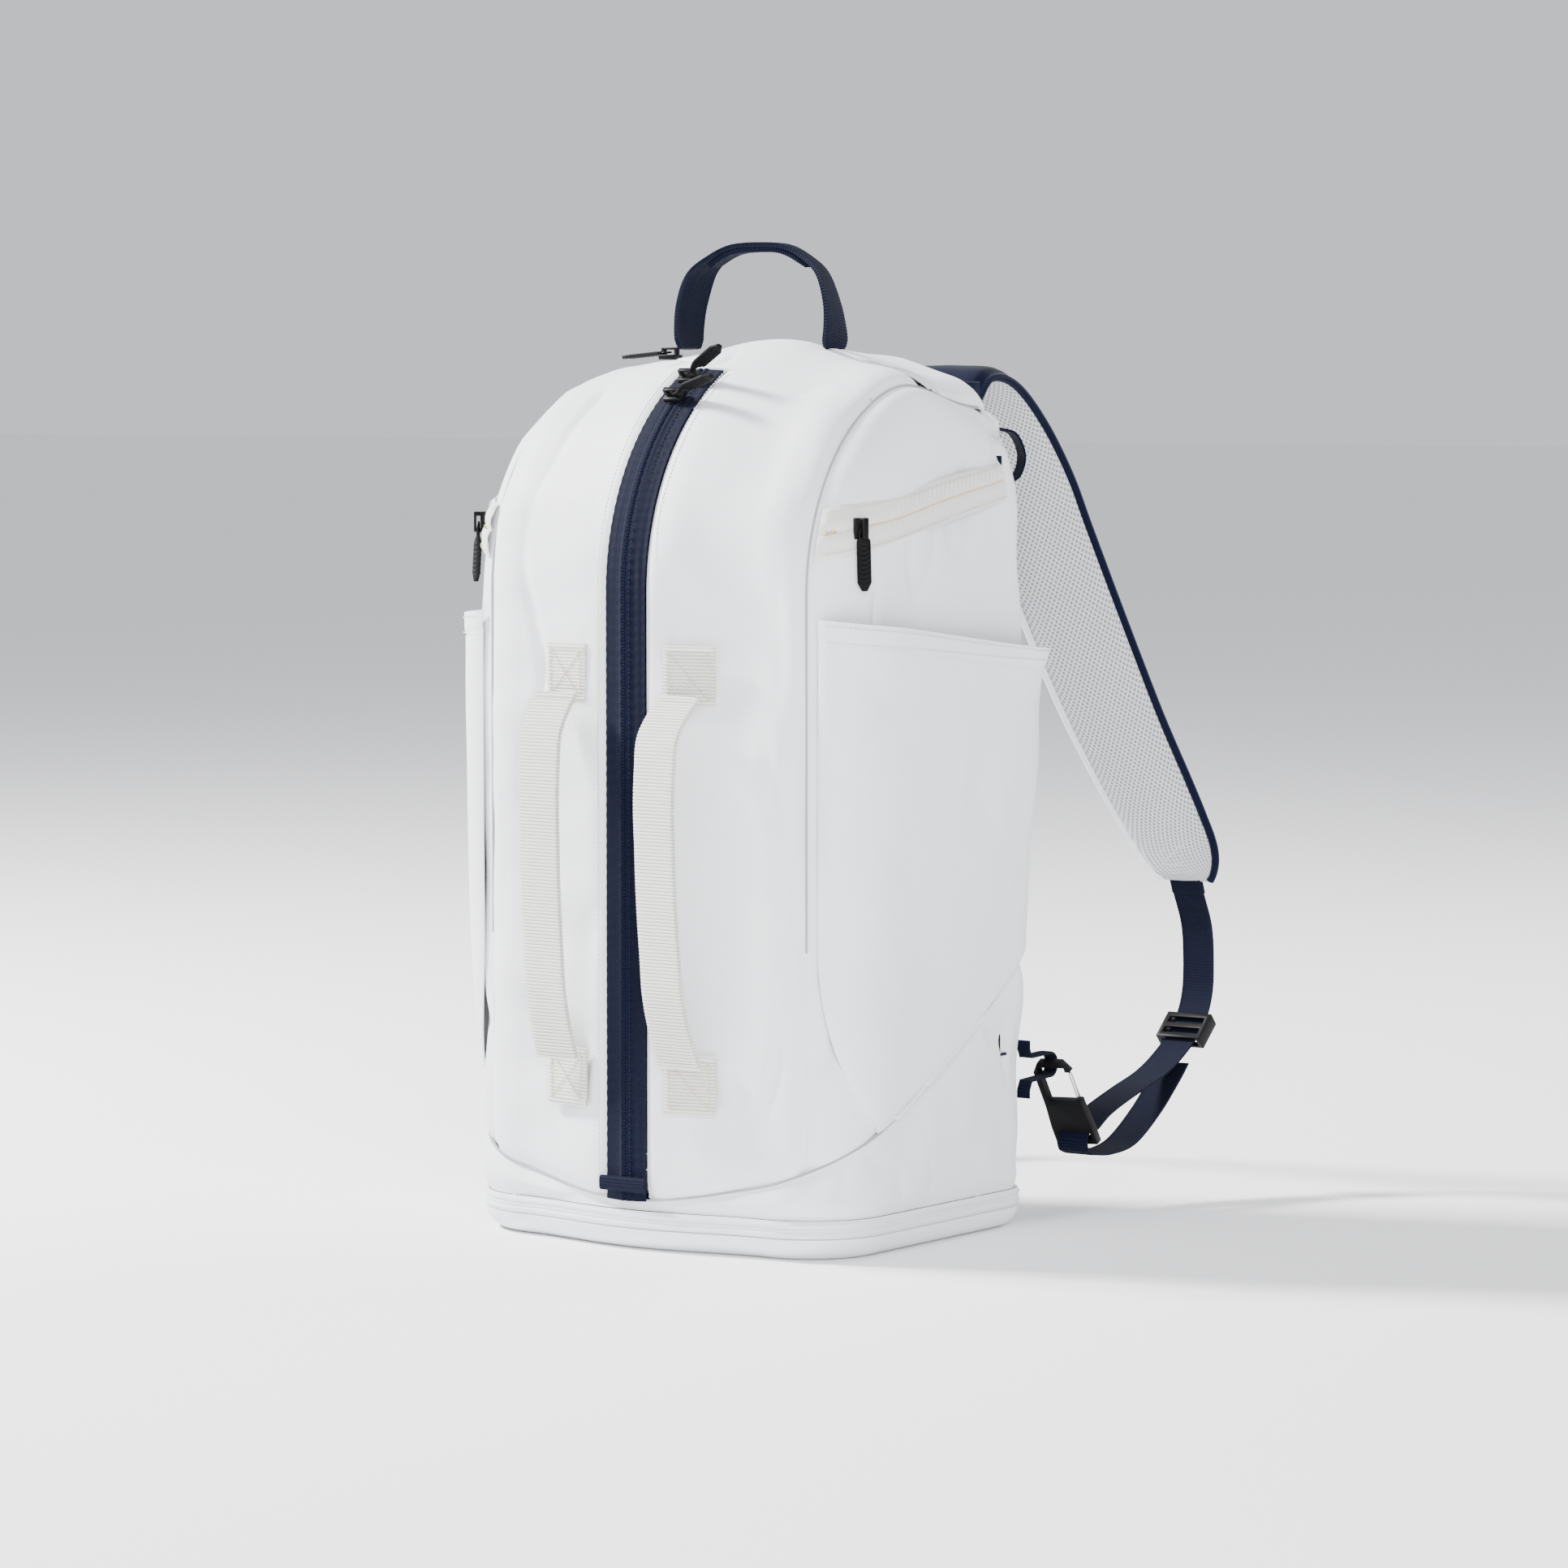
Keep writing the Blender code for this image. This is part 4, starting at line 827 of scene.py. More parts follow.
# ------------------------------------------------------------ zips
def main_zip():
    def place(u, v):
        x = (2 * u - 1) * (ZIP_HALF - SEAM)
        low = smile_z(x, front_y(x)) + SEAM
        return up_front(x, v, low, PANEL_END)

    def relief(u, v, spots, edges):
        middle = (u - 0.5) * 2 * ZIP_HALF
        ridge = 0.0011 * np.exp(-((np.abs(middle) - 0.0024) / 0.0020) ** 2)
        groove = -0.0008 * np.exp(-(middle / 0.0006) ** 2)
        ripple = 0.0002 * np.sin(edges[2] / 0.0011)
        return ridge + groove + ripple - 0.0012

    piece = lay("main_zip_tape_cloth", 40, 420, place, 0.0012, relief)
    settle(piece, navy_tape, "bag", ("main_zip_tape",), "navy_webbing")
    steps = np.linspace(0.004, 0.996, 300)
    for side in (-1, 1):
        x = np.full(steps.shape, side * 0.00055)
        row = up_front(x, steps, smile_z(x, front_y(x)), ZIP_TOP_ANGLE - 0.01)
        points = [(a, b - 0.0001, c) for a, b, c in zip(*row)]
        stitch_row("main_zip_centre_" + hand_of(side), points, zip_up, navy_thread,
                   pitch=0.0021, length=0.0013, thick=0.00038)
        for label, out in (("inner", 0.0050), ("outer", ZIP_HALF + 0.0048)):
            x = np.full(steps.shape, side * out)
            row = up_front(x, steps, smile_z(x, front_y(x)), ZIP_TOP_ANGLE - 0.01)
            thread = navy_thread if label == "inner" else white_thread
            lift = 0.0008 if label == "inner" else 0.0014
            points = [(a, b - lift, c + lift * 0.2) for a, b, c in zip(*row)]
            stitch_row("main_zip_%s_%s_stitches" % (label, side), points, zip_up, thread)


def zip_up(point):
    """The outward direction of the front and its dome at a point."""
    if point.z < SHOULDER_Z:
        return (0.0, -1.0, 0.0)
    return (0.0, point.y - DOME_Y, point.z - SHOULDER_Z)


def surface_y(x, z):
    rise = np.clip((z - SHOULDER_Z) / (top_z(x) - SHOULDER_Z), 0, 1)
    return DOME_Y - (DOME_Y - front_y(x)) * np.sqrt(1 - rise ** 2)


def side_zip_point(side, share, rise, stand):
    """A point of a side zip's tape: share runs back from the front corner, rise goes up across the tape."""
    z = 0.480 + 0.042 * share + rise
    corner = 0.25
    begin = math.radians(33) + 0.05
    angle = begin + (math.pi / 2 - begin) * np.clip(share / corner, 0, 1)
    x = FLAT_X + FRONT_ROUND * np.sin(angle)
    start = surface_y(x, z)
    y = start + (0.086 - start) * np.clip((share - corner) / (1 - corner), 0, 1)
    return slump(side * (x + stand * np.sin(angle)), y - stand * np.cos(angle), z)


def side_zip(side):
    label = hand_of(side)

    def place(u, v):
        return side_zip_point(side, u, (v - 0.5) * SIDE_TAPE_WIDTH, 0.0022)

    def relief(u, v, spots, edges):
        gap = (v - 0.5) * SIDE_TAPE_WIDTH
        lips = 0.0015 * np.exp(-((np.abs(gap) - 0.0060) / 0.0050) ** 2)
        groove = -0.0010 * np.exp(-(gap / 0.0009) ** 2)
        return lips + groove + rolled(edges, ALL_EDGES, 0.0016, 0.0020)

    piece = lay("side_zip_tape_%s_cloth" % label, 170, 40, place, 0.0010, relief)
    settle(piece, cream_tape, "bag", ("side_zip_tape_" + label,), "offwhite_webbing")
    shares = np.linspace(0.10, 0.98, 120)
    row = side_zip_point(side, shares, 0.0 * shares, 0.0020)
    stitch_row("side_zip_%s_coil" % label, list(zip(*row)), sideways, orange_thread,
               pitch=0.0019, length=0.0017, thick=0.00042)
    for name, rise in (("upper", 0.0142), ("lower", -0.0142)):
        shares = np.linspace(0.02, 0.98, 120)
        row = side_zip_point(side, shares, rise + 0.0 * shares, 0.0030)
        stitch_row("side_zip_%s_%s_stitches" % (label, name), list(zip(*row)), sideways, cream_thread)
    row = side_zip_point(side, np.linspace(0.012, 0.05, 6), np.zeros(6), 0.0028)
    stitch_row("side_zip_%s_stop" % label, list(zip(*row)), sideways, brass,
               pitch=0.0035, length=0.0034, thick=0.0010)


def rear_zip():
    def place(u, v):
        x = across_x(u, -SEAM_LENGTH + SEAM, SEAM_LENGTH - SEAM)
        y = REAR_ZIP_FRONT - SEAM + (REAR_ZIP_BACK - REAR_ZIP_FRONT + 2 * SEAM) * v
        high = top_z(x) - crown(x) * 0.7 * (y - DOME_Y) / (BACK_Y - TOP_BACK_ROUND - DOME_Y)
        return slump(x, y, high)

    def relief(u, v, spots, edges):
        gap = np.abs(v - 0.5)
        return 0.0013 * np.exp(-((gap - 0.26) / 0.12) ** 2) - 0.0006 + 0.0004 * np.exp(-(gap / 0.04) ** 2)

    piece = lay("rear_zip_tape_cloth", 150, 26, place, 0.0012, relief)
    settle(piece, white_tape, "bag", ("rear_zip_tape",), "white_zip")


def bottom_tab():
    low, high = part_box("main_zip_tab")

    def place(u, v):
        wrap = v * 2 - 1
        x = low[0] + (high[0] - low[0]) * u
        middle = (low[2] + high[2]) / 2
        half = (high[2] - low[2]) / 2
        return x, low[1] + 0.0012 * np.abs(wrap) ** 6 - 0.0006 * (1 - wrap ** 2), middle + half * wrap

    piece = lay("main_zip_tab_webbing", 30, 20, place, 0.0024)
    settle(piece, navy_webbing, "bag", ("main_zip_tab",), "navy_webbing")


def ridged_pull(label, twist):
    """A rubber pull: a leaf with a pointed end and moulded ridges, on a link round the slider's bridge."""
    node = label + "_pull"
    hinge = next(j for j in frame["joints"] if j["name"] == label + "_pull_swing")
    start = Vector(hinge["pos_m"])
    across = Vector(hinge["axis"]).normalized()
    points = [Vector(v.co) for v in frame["nodes"][node].data.vertices]
    middle = sum(points, Vector()) / len(points) - start
    along = (middle - across * middle.dot(across)).normalized()
    face = across.cross(along).normalized()
    length = max((p - start).dot(along) for p in points)
    root = 0.0058

    def leaf_place(u, v):
        turn = u * 2 * math.pi
        tip = np.clip((1 - v) / 0.16, 0, 1)
        heel = np.clip(v / 0.06, 0, 1)
        half = (0.0018 + 0.0029 * tip) * (0.55 + 0.45 * heel ** 0.5)
        half = half * np.where(v > 0.995, 0.6, 1.0)
        wide = half * np.sign(np.cos(turn)) * np.abs(np.cos(turn)) ** 0.5
        thick = 0.00125 * np.sign(np.sin(turn)) * np.abs(np.sin(turn)) ** 0.4
        angle = twist * smooth_step(v / 0.3)
        side_way = wide * np.cos(angle) - thick * np.sin(angle)
        face_way = wide * np.sin(angle) + thick * np.cos(angle)
        run = root + (length - root) * v
        return tuple(start[i] + along[i] * run + across[i] * side_way + face[i] * face_way for i in range(3))

    def leaf_relief(u, v, spots, edges):
        run = v * (length - root)
        skew = np.abs(np.cos(u * 2 * math.pi)) * 0.0035
        ridges = 0.00034 * np.tanh(3 * np.sin((run + skew) * 2 * math.pi / 0.0031))
        flat = np.clip(np.abs(np.sin(u * 2 * math.pi)) * 2 - 0.7, 0, 1)
        return ridges * flat * smooth_step((v - 0.10) / 0.08) * smooth_step((0.90 - v) / 0.08)

    centre = tuple(start + along * length * 0.5)
    leaf = lay(node + "_rubber", 36, 150, leaf_place, 0, leaf_relief, inside=centre, ring=True)
    rework(leaf.data, close_rims, face_outwards)
    settle(leaf, rubber, node, (node,), "black_rubber", angle=50)
    reach = root + 0.0022
    link = []
    for step in range(25):
        angle = 2 * math.pi * step / 24
        run = reach / 2 + (reach / 2) * math.cos(angle)
        link.append(start + along * run + across * (0.0030 * math.sin(angle)))
    link = tube(node + "_link", link, 0.00062, 8)
    settle(link, enamel, node, (), "black_rubber", angle=60)


PULL_TWIST = {"main_zip_lower": 62, "main_zip_upper": 62, "side_zip_left": 34, "side_zip_right": -34,
              "rear_zip": 0, "base_zip": 0}


def sliders_and_pulls():
    for label, twist in PULL_TWIST.items():
        node = label + "_slider"
        rounded_piece(node, "enamel", 0.0005, 2, enamel, node, "black_plastic")
        ridged_pull(label, math.radians(twist))


# ------------------------------------------------------------ webbing
def smooth_route(points, count):
    """Points along a smooth curve through the given ones."""
    knots = [Vector(p) for p in points]
    knots = [knots[0] * 2 - knots[1]] + knots + [knots[-1] * 2 - knots[-2]]
    spans = len(points) - 1
    route = []
    for number in range(count + 1):
        at = number / count * spans
        span = min(int(at), spans - 1)
        k = at - span
        a, b, c, d = knots[span:span + 4]
        route.append(0.5 * ((2 * b) + (c - a) * k + (2 * a - 5 * b + 4 * c - d) * k ** 2
                            + (3 * b - a - 3 * c + d) * k ** 3))
    return route


def band(name, route, across, width, thickness, finish, body="bag", replaced=(), slot=None, pitch=0.0021,
         rib=0.00016, columns=14, inside=INSIDE):
    """Ribbed webbing along a route: across and width may be functions of the share of its length."""
    points = np.array([tuple(p) for p in route])
    runs = np.concatenate(([0], np.cumsum(np.linalg.norm(np.diff(points, axis=0), axis=1))))
    length = runs[-1]
    rows = max(24, int(length / pitch * 4))

    def place(u, v):
        run = v * length
        spot = [np.interp(run, runs, points[:, i]) for i in range(3)]
        way = np.array([tuple(Vector(across(k) if callable(across) else across).normalized())
                        for k in v[:, 0]])
        size = np.array([width(k) if callable(width) else width for k in v[:, 0]])
        push = (u - 0.5) * size[:, None]
        return tuple(spot[i] + way[:, i:i + 1] * push for i in range(3))

    def relief(u, v, spots, edges):
        ribs = rib * np.sin(edges[2] * 2 * math.pi / pitch)
        selvedge = -0.0003 * np.exp(-(np.minimum(edges[0], edges[1]) / 0.0010) ** 2)
        return ribs + selvedge

    piece = lay(name, columns, rows, place, thickness, relief, inside=inside, offset=0.0)
    return settle(piece, finish, body, replaced, slot, angle=60)


def front_grip(side):
    label = hand_of(side)
    node = "front_grip_" + label
    low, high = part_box(node)
    x = (low[0] + high[0]) / 2
    face = high[1] - 0.002
    stand = ((face + 0.002 - low[1]) - 0.004) * (0.72 if side > 0 else 0.55)
    lean = -0.006
    route = []
    shares = (0.0, 0.06, 0.20, 0.45, 0.72, 0.88, 0.965, 1.0)
    bows = (0.0, 0.30, 0.66, 0.90, 1.0, 0.90, 0.45, 0.0)
    for number in range(61):
        share = number / 60
        bow = float(np.interp(share, shares, bows))
        route.append(Vector((x + lean * bow, face - stand * bow, low[2] + (high[2] - low[2]) * share)))

    route = smooth_route([tuple(p) for p in route[::6]], 80)

    def width(k):
        return 0.033 - 0.003 * math.sin(math.pi * k) ** 0.5

    for layer, step in (("outer", -0.0011), ("inner", 0.0012)):
        shifted = [p + Vector((0, step, 0)) for p in route]
        name = "%s_%s" % (node, layer)
        band(name, shifted, (1, 0, 0), width, 0.0019, cream_webbing, node,
             (node,) if layer == "outer" else (), "offwhite_webbing", pitch=0.0023, rib=0.00025, columns=16)
    for end, spot in (("lower", route[1]), ("upper", route[-2])):
        row = [(spot.x + (k - 0.5) * 0.028, spot.y - 0.0024, spot.z) for k in np.linspace(0, 1, 8)]
        stitch_row("%s_%s_bar" % (node, end), row, (0, -1, 0), cream_thread, node)
    for end in ("lower", "upper"):
        tab = "grip_tab_%s_%s" % (end, label)
        t_low, t_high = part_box(tab)

        def place(u, v):
            tab_x = t_low[0] + (t_high[0] - t_low[0]) * u
            return tab_x, front_y(tab_x) - 0.0034, t_low[2] + (t_high[2] - t_low[2]) * v

        def relief(u, v, spots, edges):
            fold = 0.0006 * np.exp(-((np.minimum(edges[2], edges[3]) - 0.003) / 0.002) ** 2)
            ribs = 0.00022 * np.sin(edges[2] * 2 * math.pi / 0.0023)
            return ribs + fold + rolled(edges, ALL_EDGES, 0.0009, 0.0012)

        piece = lay(tab + "_webbing", 30, 120, place, 0.0026, relief)
        settle(piece, cream_webbing, "bag", (tab,), "offwhite_webbing", angle=60)
        inner = 0.0045
        corners = [(t_low[0] + inner, t_low[2] + inner), (t_high[0] - inner, t_low[2] + inner),
                   (t_high[0] - inner, t_high[2] - inner), (t_low[0] + inner, t_high[2] - inner)]
        order = (0, 1, 2, 3, 0, 2), (1, 3)
        for number, path in enumerate(order):
            points = []
            for a, b in zip(path, path[1:]):
                for k in np.linspace(0, 1, 9):
                    px = corners[a][0] + (corners[b][0] - corners[a][0]) * k
                    pz = corners[a][1] + (corners[b][1] - corners[a][1]) * k
                    points.append((px, float(front_y(px)) - 0.0038, pz))
            stitch_row("%s_box_%d" % (tab, number), points, (0, -1, 0), cream_thread)


def haul_loop():
    low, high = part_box("haul_loop")
    foot = low[2]
    y = (low[1] + high[1]) / 2
    half = high[0] - 0.002
    top = high[2] - 0.003
    left = [(-half, y, foot + 0.001), (-half - 0.0005, y, foot + 0.014), (-half + 0.002, y, foot + 0.032),
            (-half + 0.010, y, foot + 0.052), (-half + 0.024, y, top - 0.0085),
            (-half + 0.040, y, top - 0.0015)]
    right = [(-px, py, pz) for px, py, pz in reversed(left)]
    route = smooth_route(left + [(0, y, top)] + right, 120)

    def width(k):
        fold = math.exp(-((k - 0.5) / 0.23) ** 4)
        foot_share = min(k, 1 - k) / 0.03
        taper = 0.72 + 0.28 * min(1.0, foot_share) ** 0.6
        return 0.0295 * taper * (1 - 0.44 * fold)

    def across(k):
        turn = 0.35 * math.sin(math.pi * k * 2) * (1 if k > 0.5 else 0.4)
        return Vector((turn, 1.0, 0.0))

    folding = ("bag", "haul_loop", (0, y, foot + 0.001), (0, y, foot + 0.020))
    band("haul_loop_webbing", route, across, width, 0.0030, navy_webbing, folding, ("haul_loop",),
         "navy_webbing", pitch=0.0021, rib=0.00022, columns=14, inside=(0, y, foot + 0.02))
    grip = [p for number, p in enumerate(route) if 36 <= number <= 84]

    def grip_width(k):
        return 0.0130 * (1 - (2 * k - 1) ** 8 * 0.3)

    core = Vector((0, y, foot + 0.02))
    under = [p + (core - p).normalized() * 0.0033 for p in grip]
    band("haul_loop_folded_grip", under, (0, 1, 0), grip_width, 0.0028, navy_webbing, "haul_loop", (),
         "navy_webbing", pitch=0.0021, rib=0.00022, columns=10, inside=(0, y, foot + 0.02))


# ------------------------------------------------------------ harness
STRAP_ROUTE = (
    (0.062, 0.1370, 0.566), (0.062, 0.152, 0.583), (0.064, 0.178, 0.578), (0.067, 0.208, 0.552),
    (0.072, 0.234, 0.515), (0.078, 0.250, 0.478), (0.090, 0.265, 0.430), (0.104, 0.276, 0.385),
    (0.118, 0.289, 0.340), (0.133, 0.306, 0.294), (0.147, 0.322, 0.252), (0.155, 0.330, 0.222),
)
LOWER_ROUTE = (
    (0.1550, 0.3320, 0.2140), (0.1570, 0.3400, 0.1900), (0.1575, 0.3420, 0.1640), (0.1575, 0.3400, 0.1400),
    (0.1575, 0.3290, 0.1200), (0.1575, 0.3080, 0.1040), (0.1570, 0.2800, 0.0900), (0.1560, 0.2450, 0.0800),
    (0.1550, 0.2100, 0.0690), (0.1550, 0.1900, 0.0590),
)
TAIL_ROUTE = (
    (0.1550, 0.1850, 0.0420), (0.1560, 0.2080, 0.0400), (0.1565, 0.2380, 0.0440), (0.1570, 0.2700, 0.0620),
    (0.1575, 0.2960, 0.0830), (0.1575, 0.3080, 0.0940),
)
STRAP_WIDTH = 0.072


def strap_frame(side, v, u, lift):
    """A point of a strap: v along it, u across it, lift off its middle surface towards the outside."""
    route = np.array([tuple(p) for p in smooth_route(STRAP_ROUTE, 160)])
    at = np.linspace(0, 1, len(route))
    spot = np.stack([np.interp(v, at, route[:, i]) for i in range(3)], axis=-1)
    ahead = np.stack([np.interp(np.clip(v + 0.01, 0, 1), at, route[:, i]) for i in range(3)], axis=-1)
    behind = np.stack([np.interp(np.clip(v - 0.01, 0, 1), at, route[:, i]) for i in range(3)], axis=-1)
    along = ahead - behind
    along /= np.linalg.norm(along, axis=-1, keepdims=True)
    turn = 0.42 * np.sin(math.pi * np.minimum(1.0, v * 1.15)) + 0.04
    across = np.stack((np.ones_like(v), turn, np.zeros_like(v)), axis=-1)
    across /= np.linalg.norm(across, axis=-1, keepdims=True)
    out = np.cross(across, along)
    out /= np.linalg.norm(out, axis=-1, keepdims=True)
    out = np.where(out[..., 1:2] < 0, -out, out)
    out = np.where((v < 0.12)[..., None] & (out[..., 2:3] < -0.2), -out, out)
    taper = np.sqrt(np.maximum(1 - (0.90 * np.clip((v - 0.80) / 0.20, 0, 1)) ** 2.6, 0.04))
    spot = spot + across * ((u - 0.5) * STRAP_WIDTH * taper)[..., None] + out * np.asarray(lift)[..., None]
    spot[..., 0] *= side
    return spot


def shoulder_strap(side):
    label = hand_of(side)
    node = "shoulder_strap_" + label

    def pad_place(u, v):
        turn = u * 2 * math.pi
        wide = np.cos(turn)
        flat = np.sin(turn)
        across = 0.5 + 0.485 * np.sign(wide) * np.abs(wide) ** 0.55
        lift = 0.0052 * np.sign(flat) * np.abs(flat) ** 0.62
        swell = 1 + 0.10 * np.sin(v * 23) * np.abs(flat)
        close = np.minimum(1, 40 * np.minimum(v, 1 - v) + 0.35)
        spot = strap_frame(side, 0.004 + 0.992 * v, across, lift * swell * close)
        return spot[..., 0], spot[..., 1], spot[..., 2]

    middle = strap_frame(side, np.array([0.5]), np.array([0.5]), np.array([0.0]))[0]
    pad = lay(node + "_foam", 96, 260, pad_place, 0, None, inside=tuple(middle), ring=True)
    clear_selection()
    bpy.context.view_layer.objects.active = pad
    pad.select_set(True)
    bpy.ops.object.mode_set(mode="EDIT")
    bpy.ops.mesh.select_all(action="DESELECT")
    bpy.ops.mesh.select_non_manifold()
    bpy.ops.mesh.fill()
    bpy.ops.mesh.select_all(action="SELECT")
    bpy.ops.mesh.normals_make_consistent(inside=False)
    bpy.ops.object.mode_set(mode="OBJECT")
    settle(pad, white_mesh, "bag", (node,), "spacer_mesh")

    def cover_place(u, v):
        spot = strap_frame(side, 0.002 + 0.996 * v, -0.012 + 1.024 * u, 0.0076 - 0.0022 * (2 * u - 1) ** 4)
        return spot[..., 0], spot[..., 1], spot[..., 2]

    def cover_relief(u, v, spots, edges):
        return 0.0003 * dents(spots, 0.03, 71) + rolled(edges, (0, 1), 0.0030, 0.0040)

    inner = tuple(middle + np.array((0, -0.1, -0.05)))
    cover = lay(node + "_cover", 30, 200, cover_place, 0.0008, cover_relief, inside=inner)
    settle(cover, navy_cloth, "bag", (), "navy_fabric")
    for edge, share in (("inner", -0.004), ("outer", 1.004)):
        route = strap_frame(side, np.linspace(0.006, 0.994, 120), np.full(120, share), np.zeros(120) - 0.0006)
        binding = tube("%s_%s_binding" % (node, edge), route, 0.0030, 8)
        settle(binding, navy_cloth if edge == "outer" else white_cloth, "bag", (), "navy_fabric")
    patch = strap_frame(side, np.array([0.93]), np.array([0.5]), np.array([-0.0060]))[0]
    facing = Vector((0, -1, -0.2))
    square = []
    turns = ((-1, -1), (1, -1), (1, 1), (-1, 1), (-1, -1), (1, 1))
    for a, b in zip(turns, turns[1:]):
        for k in np.linspace(0, 1, 6):
            px = patch[0] + 0.008 * (a[0] + (b[0] - a[0]) * k)
            pz = patch[2] + 0.008 * (a[1] + (b[1] - a[1]) * k)
            square.append((px, patch[1] - 0.0006, pz))
    stitch_row(node + "_tack", square, facing, white_thread)


def tube(name, route, radius, sides):
    """A closed tube along a route, made by sweeping a ring."""
    curve = bpy.data.curves.new(name, "CURVE")
    curve.dimensions = "3D"
    curve.bevel_depth = radius
    curve.bevel_resolution = max(1, sides // 2 - 2)
    curve.use_fill_caps = True
    spline = curve.splines.new("POLY")
    spline.points.add(len(route) - 1)
    for spot, point in zip(spline.points, route):
        spot.co = (float(point[0]), float(point[1]), float(point[2]), 1.0)
    wire = bpy.data.objects.new(name, curve)
    bpy.context.scene.collection.objects.link(wire)
    clear_selection()
    bpy.context.view_layer.objects.active = wire
    wire.select_set(True)
    bpy.ops.object.convert(target="MESH")
    piece = bpy.context.object
    weld(piece, 0.00001)
    rework(piece.data, face_outwards)
    return piece


def mirrored(point, side):
    return Vector((point[0] * side, point[1], point[2]))


def lower_harness(side):
    label = hand_of(side)
    for node, points in (("lower_webbing_", LOWER_ROUTE), ("return_webbing_", TAIL_ROUTE)):
        route = [mirrored(p, side) for p in smooth_route(points, 90)]
        middle = (side * 0.156, 0.25, 0.12)
        band(node + label + "_weave", route, (1, 0, 0), 0.025, 0.0015, navy_webbing, "bag", (node + label,),
             "navy_webbing", inside=middle)
    return_turn = ((0.155, 0.190, 0.059), (0.155, 0.1815, 0.0595), (0.155, 0.1762, 0.0535),
                   (0.155, 0.1782, 0.0452), (0.155, 0.1850, 0.0420))
    route = [mirrored(p, side) for p in smooth_route(return_turn, 24)]
    band("webbing_turn_" + label, route, (1, 0, 0), 0.0245, 0.0015, navy_webbing, "bag", (), "navy_webbing",
         inside=(side * 0.155, 0.183, 0.053))
    end = strap_frame(side, np.array([0.985]), np.array([0.5]), np.array([0.0]))[0]
    first, last = Vector(end), mirrored(LOWER_ROUTE[0], side)
    root = smooth_route([tuple(first), tuple((first + last) / 2), tuple(last)], 12)
    band("webbing_root_" + label, root, (1, 0, 0), 0.0255, 0.0032, navy_webbing, "bag", (), "navy_webbing",
         inside=(0, 0.2, 0.2))
    lock, gate = "ladder_lock_" + label, "wire_gate_" + label
    rounded_piece(lock, "moulding", 0.0006, 3, plastic, lock, "black_plastic")
    rounded_piece("snap_hook_" + label, "moulding", 0.0010, 3, plastic, "bag", "black_plastic")
    rounded_piece(gate, "steel", 0.00015, 1, metal, gate, "steel_wire", angle=60)
    low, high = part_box("anchor_loop_" + label)
    x = (low[0] + high[0]) / 2
    wall = low[1] + 0.0008
    z = (low[2] + high[2]) / 2
    bend = 0.0085
    route = [Vector((x, wall, high[2])), Vector((x, wall, z + bend + 0.006)),
             Vector((x, wall + 0.003, z + bend))]
    for step in range(13):
        angle = math.radians(100 - 200 * step / 12)
        route.append(Vector((x, 0.154 + math.cos(angle) * bend, z + 0.001 + math.sin(angle) * bend)))
    route += [Vector((x, wall + 0.003, z - bend)), Vector((x, wall, z - bend - 0.006)),
              Vector((x, wall, low[2]))]
    band("anchor_loop_%s_weave" % label, route, (1, 0, 0), 0.010, 0.0014, navy_webbing, "bag",
         ("anchor_loop_" + label,), "navy_webbing", columns=8, inside=(x, 0.145, z))


def upper_loop(side):
    """A small webbing loop sewn into the back seam above the side zip."""
    label = hand_of(side)
    points = ((0.1340, 0.1120, 0.5480), (0.1400, 0.1200, 0.5450), (0.1440, 0.1240, 0.5350),
              (0.1450, 0.1240, 0.5250),
              (0.1430, 0.1200, 0.5150), (0.1400, 0.1120, 0.5110))
    route = [mirrored(p, side) for p in smooth_route(points, 40)]
    band("upper_side_loop_" + label, route, (0.75 * side, -0.66, 0.0), 0.018, 0.0015, navy_webbing, "bag", (),
         "navy_webbing", columns=10, inside=(side * 0.140, 0.115, 0.530))


def seam_shadow_line(name, points, sink=0.0030):
    """A grey tube at the bottom of a seam, between the two rolled edges: a painted shadow line."""
    route = []
    for x, y, z in points:
        point = Vector(tuple(float(c) for c in slump(x, y, z)))
        core = Vector((0.0, 0.03, min(max(point.z, 0.08), 0.44)))
        route.append(point + (core - point).normalized() * sink)
    piece = tube(name, route, 0.0008, 6)
    settle(piece, seam_shadow, "bag", (), "white_fabric")


def seams():
    """Painted shadow lines along the seams of the shell."""
    for side in (-1, 1):
        label = hand_of(side)
        rim = side * SEAM_X
        y = float(front_y(rim))
        points = [(rim, y, z) for z in np.linspace(0.205, SHOULDER_Z, 30)]
        points += [dome(rim, a) for a in np.linspace(0, math.pi / 2, 40)]
        high = float(top_z(rim))
        points += [(rim, w, high) for w in np.linspace(DOME_Y, BACK_Y - 0.012, 12)]
        seam_shadow_line("side_seam_shadow_" + label, points)
    row = [perimeter(np.array(s), 0.0) for s in np.linspace(-ROUND_END + 0.02, ROUND_END - 0.02, 160)]
    points = [(float(x), float(y), float(smile_z(x, y))) for x, y in row]
    seam_shadow_line("boot_seam_shadow", points)
    xs = across_x(np.linspace(0, 1, 50), -SEAM_LENGTH, SEAM_LENGTH)
    seam_shadow_line("top_seam_shadow", [dome(x, ZIP_TOP_ANGLE) for x in xs], 0.0028)


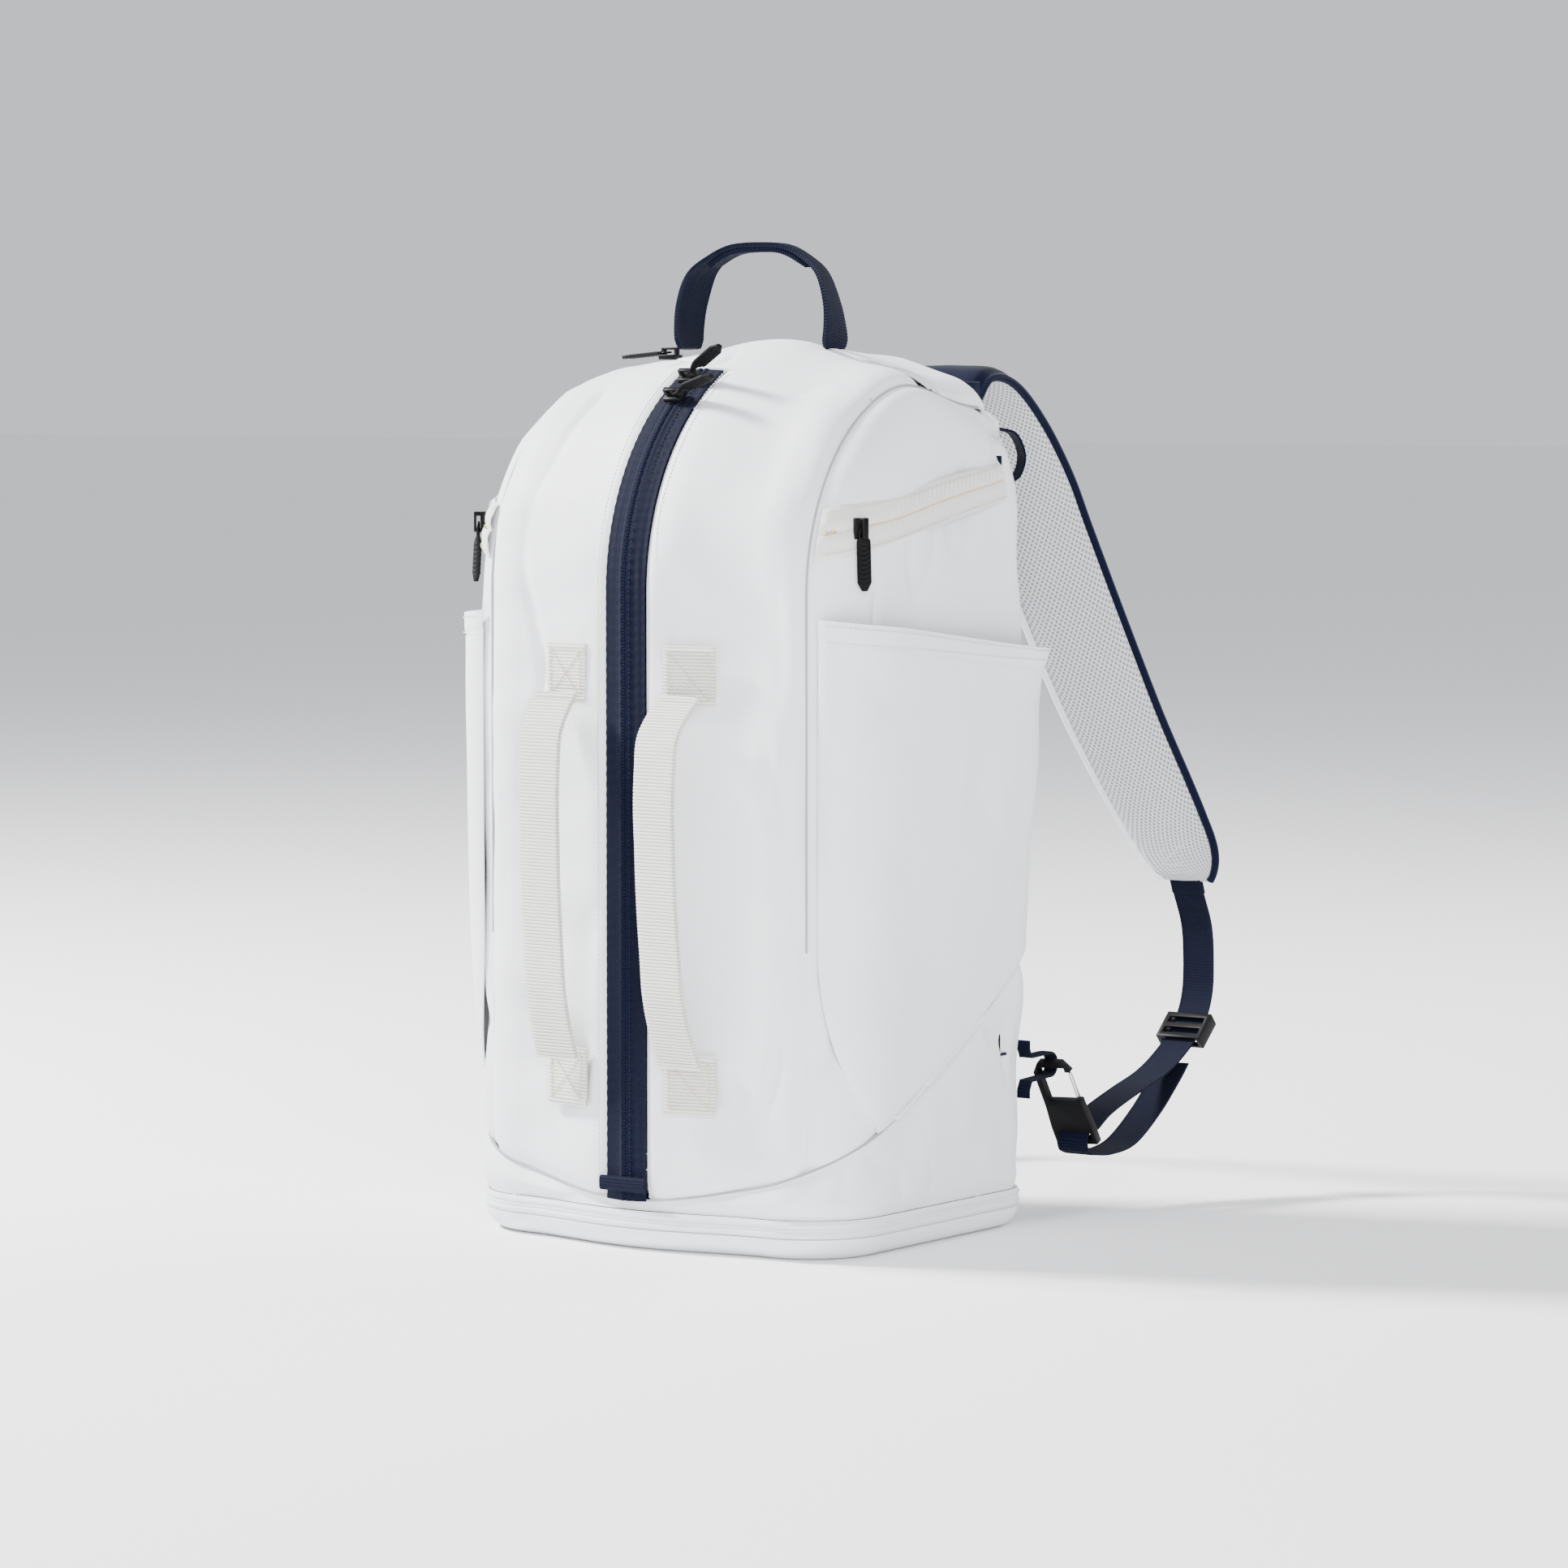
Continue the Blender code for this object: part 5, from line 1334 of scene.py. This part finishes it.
def back_pad(side):
    label = hand_of(side)
    node = "back_pad_" + label
    low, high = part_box(node)

    def place(u, v):
        x = low[0] + (high[0] - low[0]) * u
        z = low[2] + (high[2] - low[2]) * v
        puff = (1 - (2 * u - 1) ** 6) * (1 - (2 * v - 1) ** 30)
        grooves = sum(0.0040 * np.exp(-((v - at) / 0.008) ** 2) for at in (0.2, 0.4, 0.6, 0.8))
        return x, low[1] + 0.0012 + 0.0095 * puff ** 0.5 - grooves * puff, z

    piece = lay(node + "_foam", 50, 200, place, 0.0008)
    settle(piece, white_mesh, "bag", (node,), "spacer_mesh")


def patch_panel():
    low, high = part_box("strap_anchor_patch")

    def place(u, v):
        x = low[0] + (high[0] - low[0]) * u
        return x, low[1] + 0.0018 + 0 * u, low[2] + (high[2] - low[2]) * v

    def relief(u, v, spots, edges):
        return rolled(edges, ALL_EDGES, 0.0008, 0.002)

    piece = lay("strap_anchor_patch_cloth", 60, 16, place, 0.0014, relief)
    settle(piece, navy_cloth, "bag", ("strap_anchor_patch",), "navy_webbing")


def inside_pieces():
    for node, finish, slot in (("frame_sheet", board, "board"), ("base_board", board, "board"),
                               ("rear_divider", navy_cloth, "navy_fabric"),
                               ("shoe_compartment_floor", navy_cloth, "navy_fabric")):
        rounded_piece(node, "sheet", 0.0005, 2, finish, "bag", slot)
    coil = frame["nodes"]["main_zip_coil"]
    coil.data.materials.clear()
    coil.data.materials.append(navy_tape)


# ------------------------------------------------------------ stage
FLOOR_SIZE = 80
CAMERA_TURN, CAMERA_RISE, CAMERA_DISTANCE = math.radians(35), math.radians(4.0), 4.0
CAMERA_AIM = (0.022, 0.0155, 0.305)
LENS = 134
LAMPS = (("key_light", (-2.6, -0.9, 2.7), (0, 0, 0.3), 0.6, 500),
         ("fill_light", (2.2, -2.4, 1.0), (0, 0, 0.3), 1.4, 110),
         ("rim_light", (0.8, 2.4, 2.2), (0, 0, 0.4), 1.6, 60))


def stage():
    clear_selection()
    bpy.ops.mesh.primitive_plane_add(size=FLOOR_SIZE, location=(0, 0, 0))
    floor = bpy.context.object
    floor.name = "floor"
    pale = bpy.data.materials.new("pale_floor")
    pale.use_nodes = True
    shader = pale.node_tree.nodes["Principled BSDF"]
    shader.inputs["Base Color"].default_value = (0.93, 0.93, 0.935, 1.0)
    shader.inputs["Roughness"].default_value = 0.9
    floor.data.materials.append(pale)
    world = bpy.data.worlds.new("studio")
    bpy.context.scene.world = world
    world.use_nodes = True
    sky = world.node_tree.nodes["Background"]
    sky.inputs[0].default_value = (0.93, 0.95, 1.0, 1.0)
    sky.inputs[1].default_value = 0.85
    for name, spot, aim, size, power in LAMPS:
        data = bpy.data.lights.new(name, "AREA")
        data.energy = power
        data.size = size
        lamp = bpy.data.objects.new(name, data)
        bpy.context.scene.collection.objects.link(lamp)
        lamp.location = spot
        lamp.rotation_euler = (Vector(aim) - Vector(spot)).to_track_quat("-Z", "Y").to_euler()
    data = bpy.data.cameras.new("camera")
    camera = bpy.data.objects.new("camera", data)
    bpy.context.scene.collection.objects.link(camera)
    level = math.cos(CAMERA_RISE)
    back = Vector((math.sin(CAMERA_TURN) * level, -math.cos(CAMERA_TURN) * level, math.sin(CAMERA_RISE)))
    camera.location = Vector(CAMERA_AIM) + back * CAMERA_DISTANCE
    camera.rotation_euler = (-back).to_track_quat("-Z", "Y").to_euler()
    data.lens = LENS
    data.clip_end = 100
    bpy.context.scene.camera = camera


stage()
for hand in (-1, 1):
    front_panel(hand)
    side_panel(hand)
    pocket(hand)
    side_zip(hand)
    front_grip(hand)
    shoulder_strap(hand)
    lower_harness(hand)
    back_pad(hand)
    upper_loop(hand)
top_front_panel()
top_rear_panel()
boot_panel()
base_ring()
base_panel()
back_panel()
main_zip()
rear_zip()
bottom_tab()
sliders_and_pulls()
haul_loop()
seams()
patch_panel()
inside_pieces()
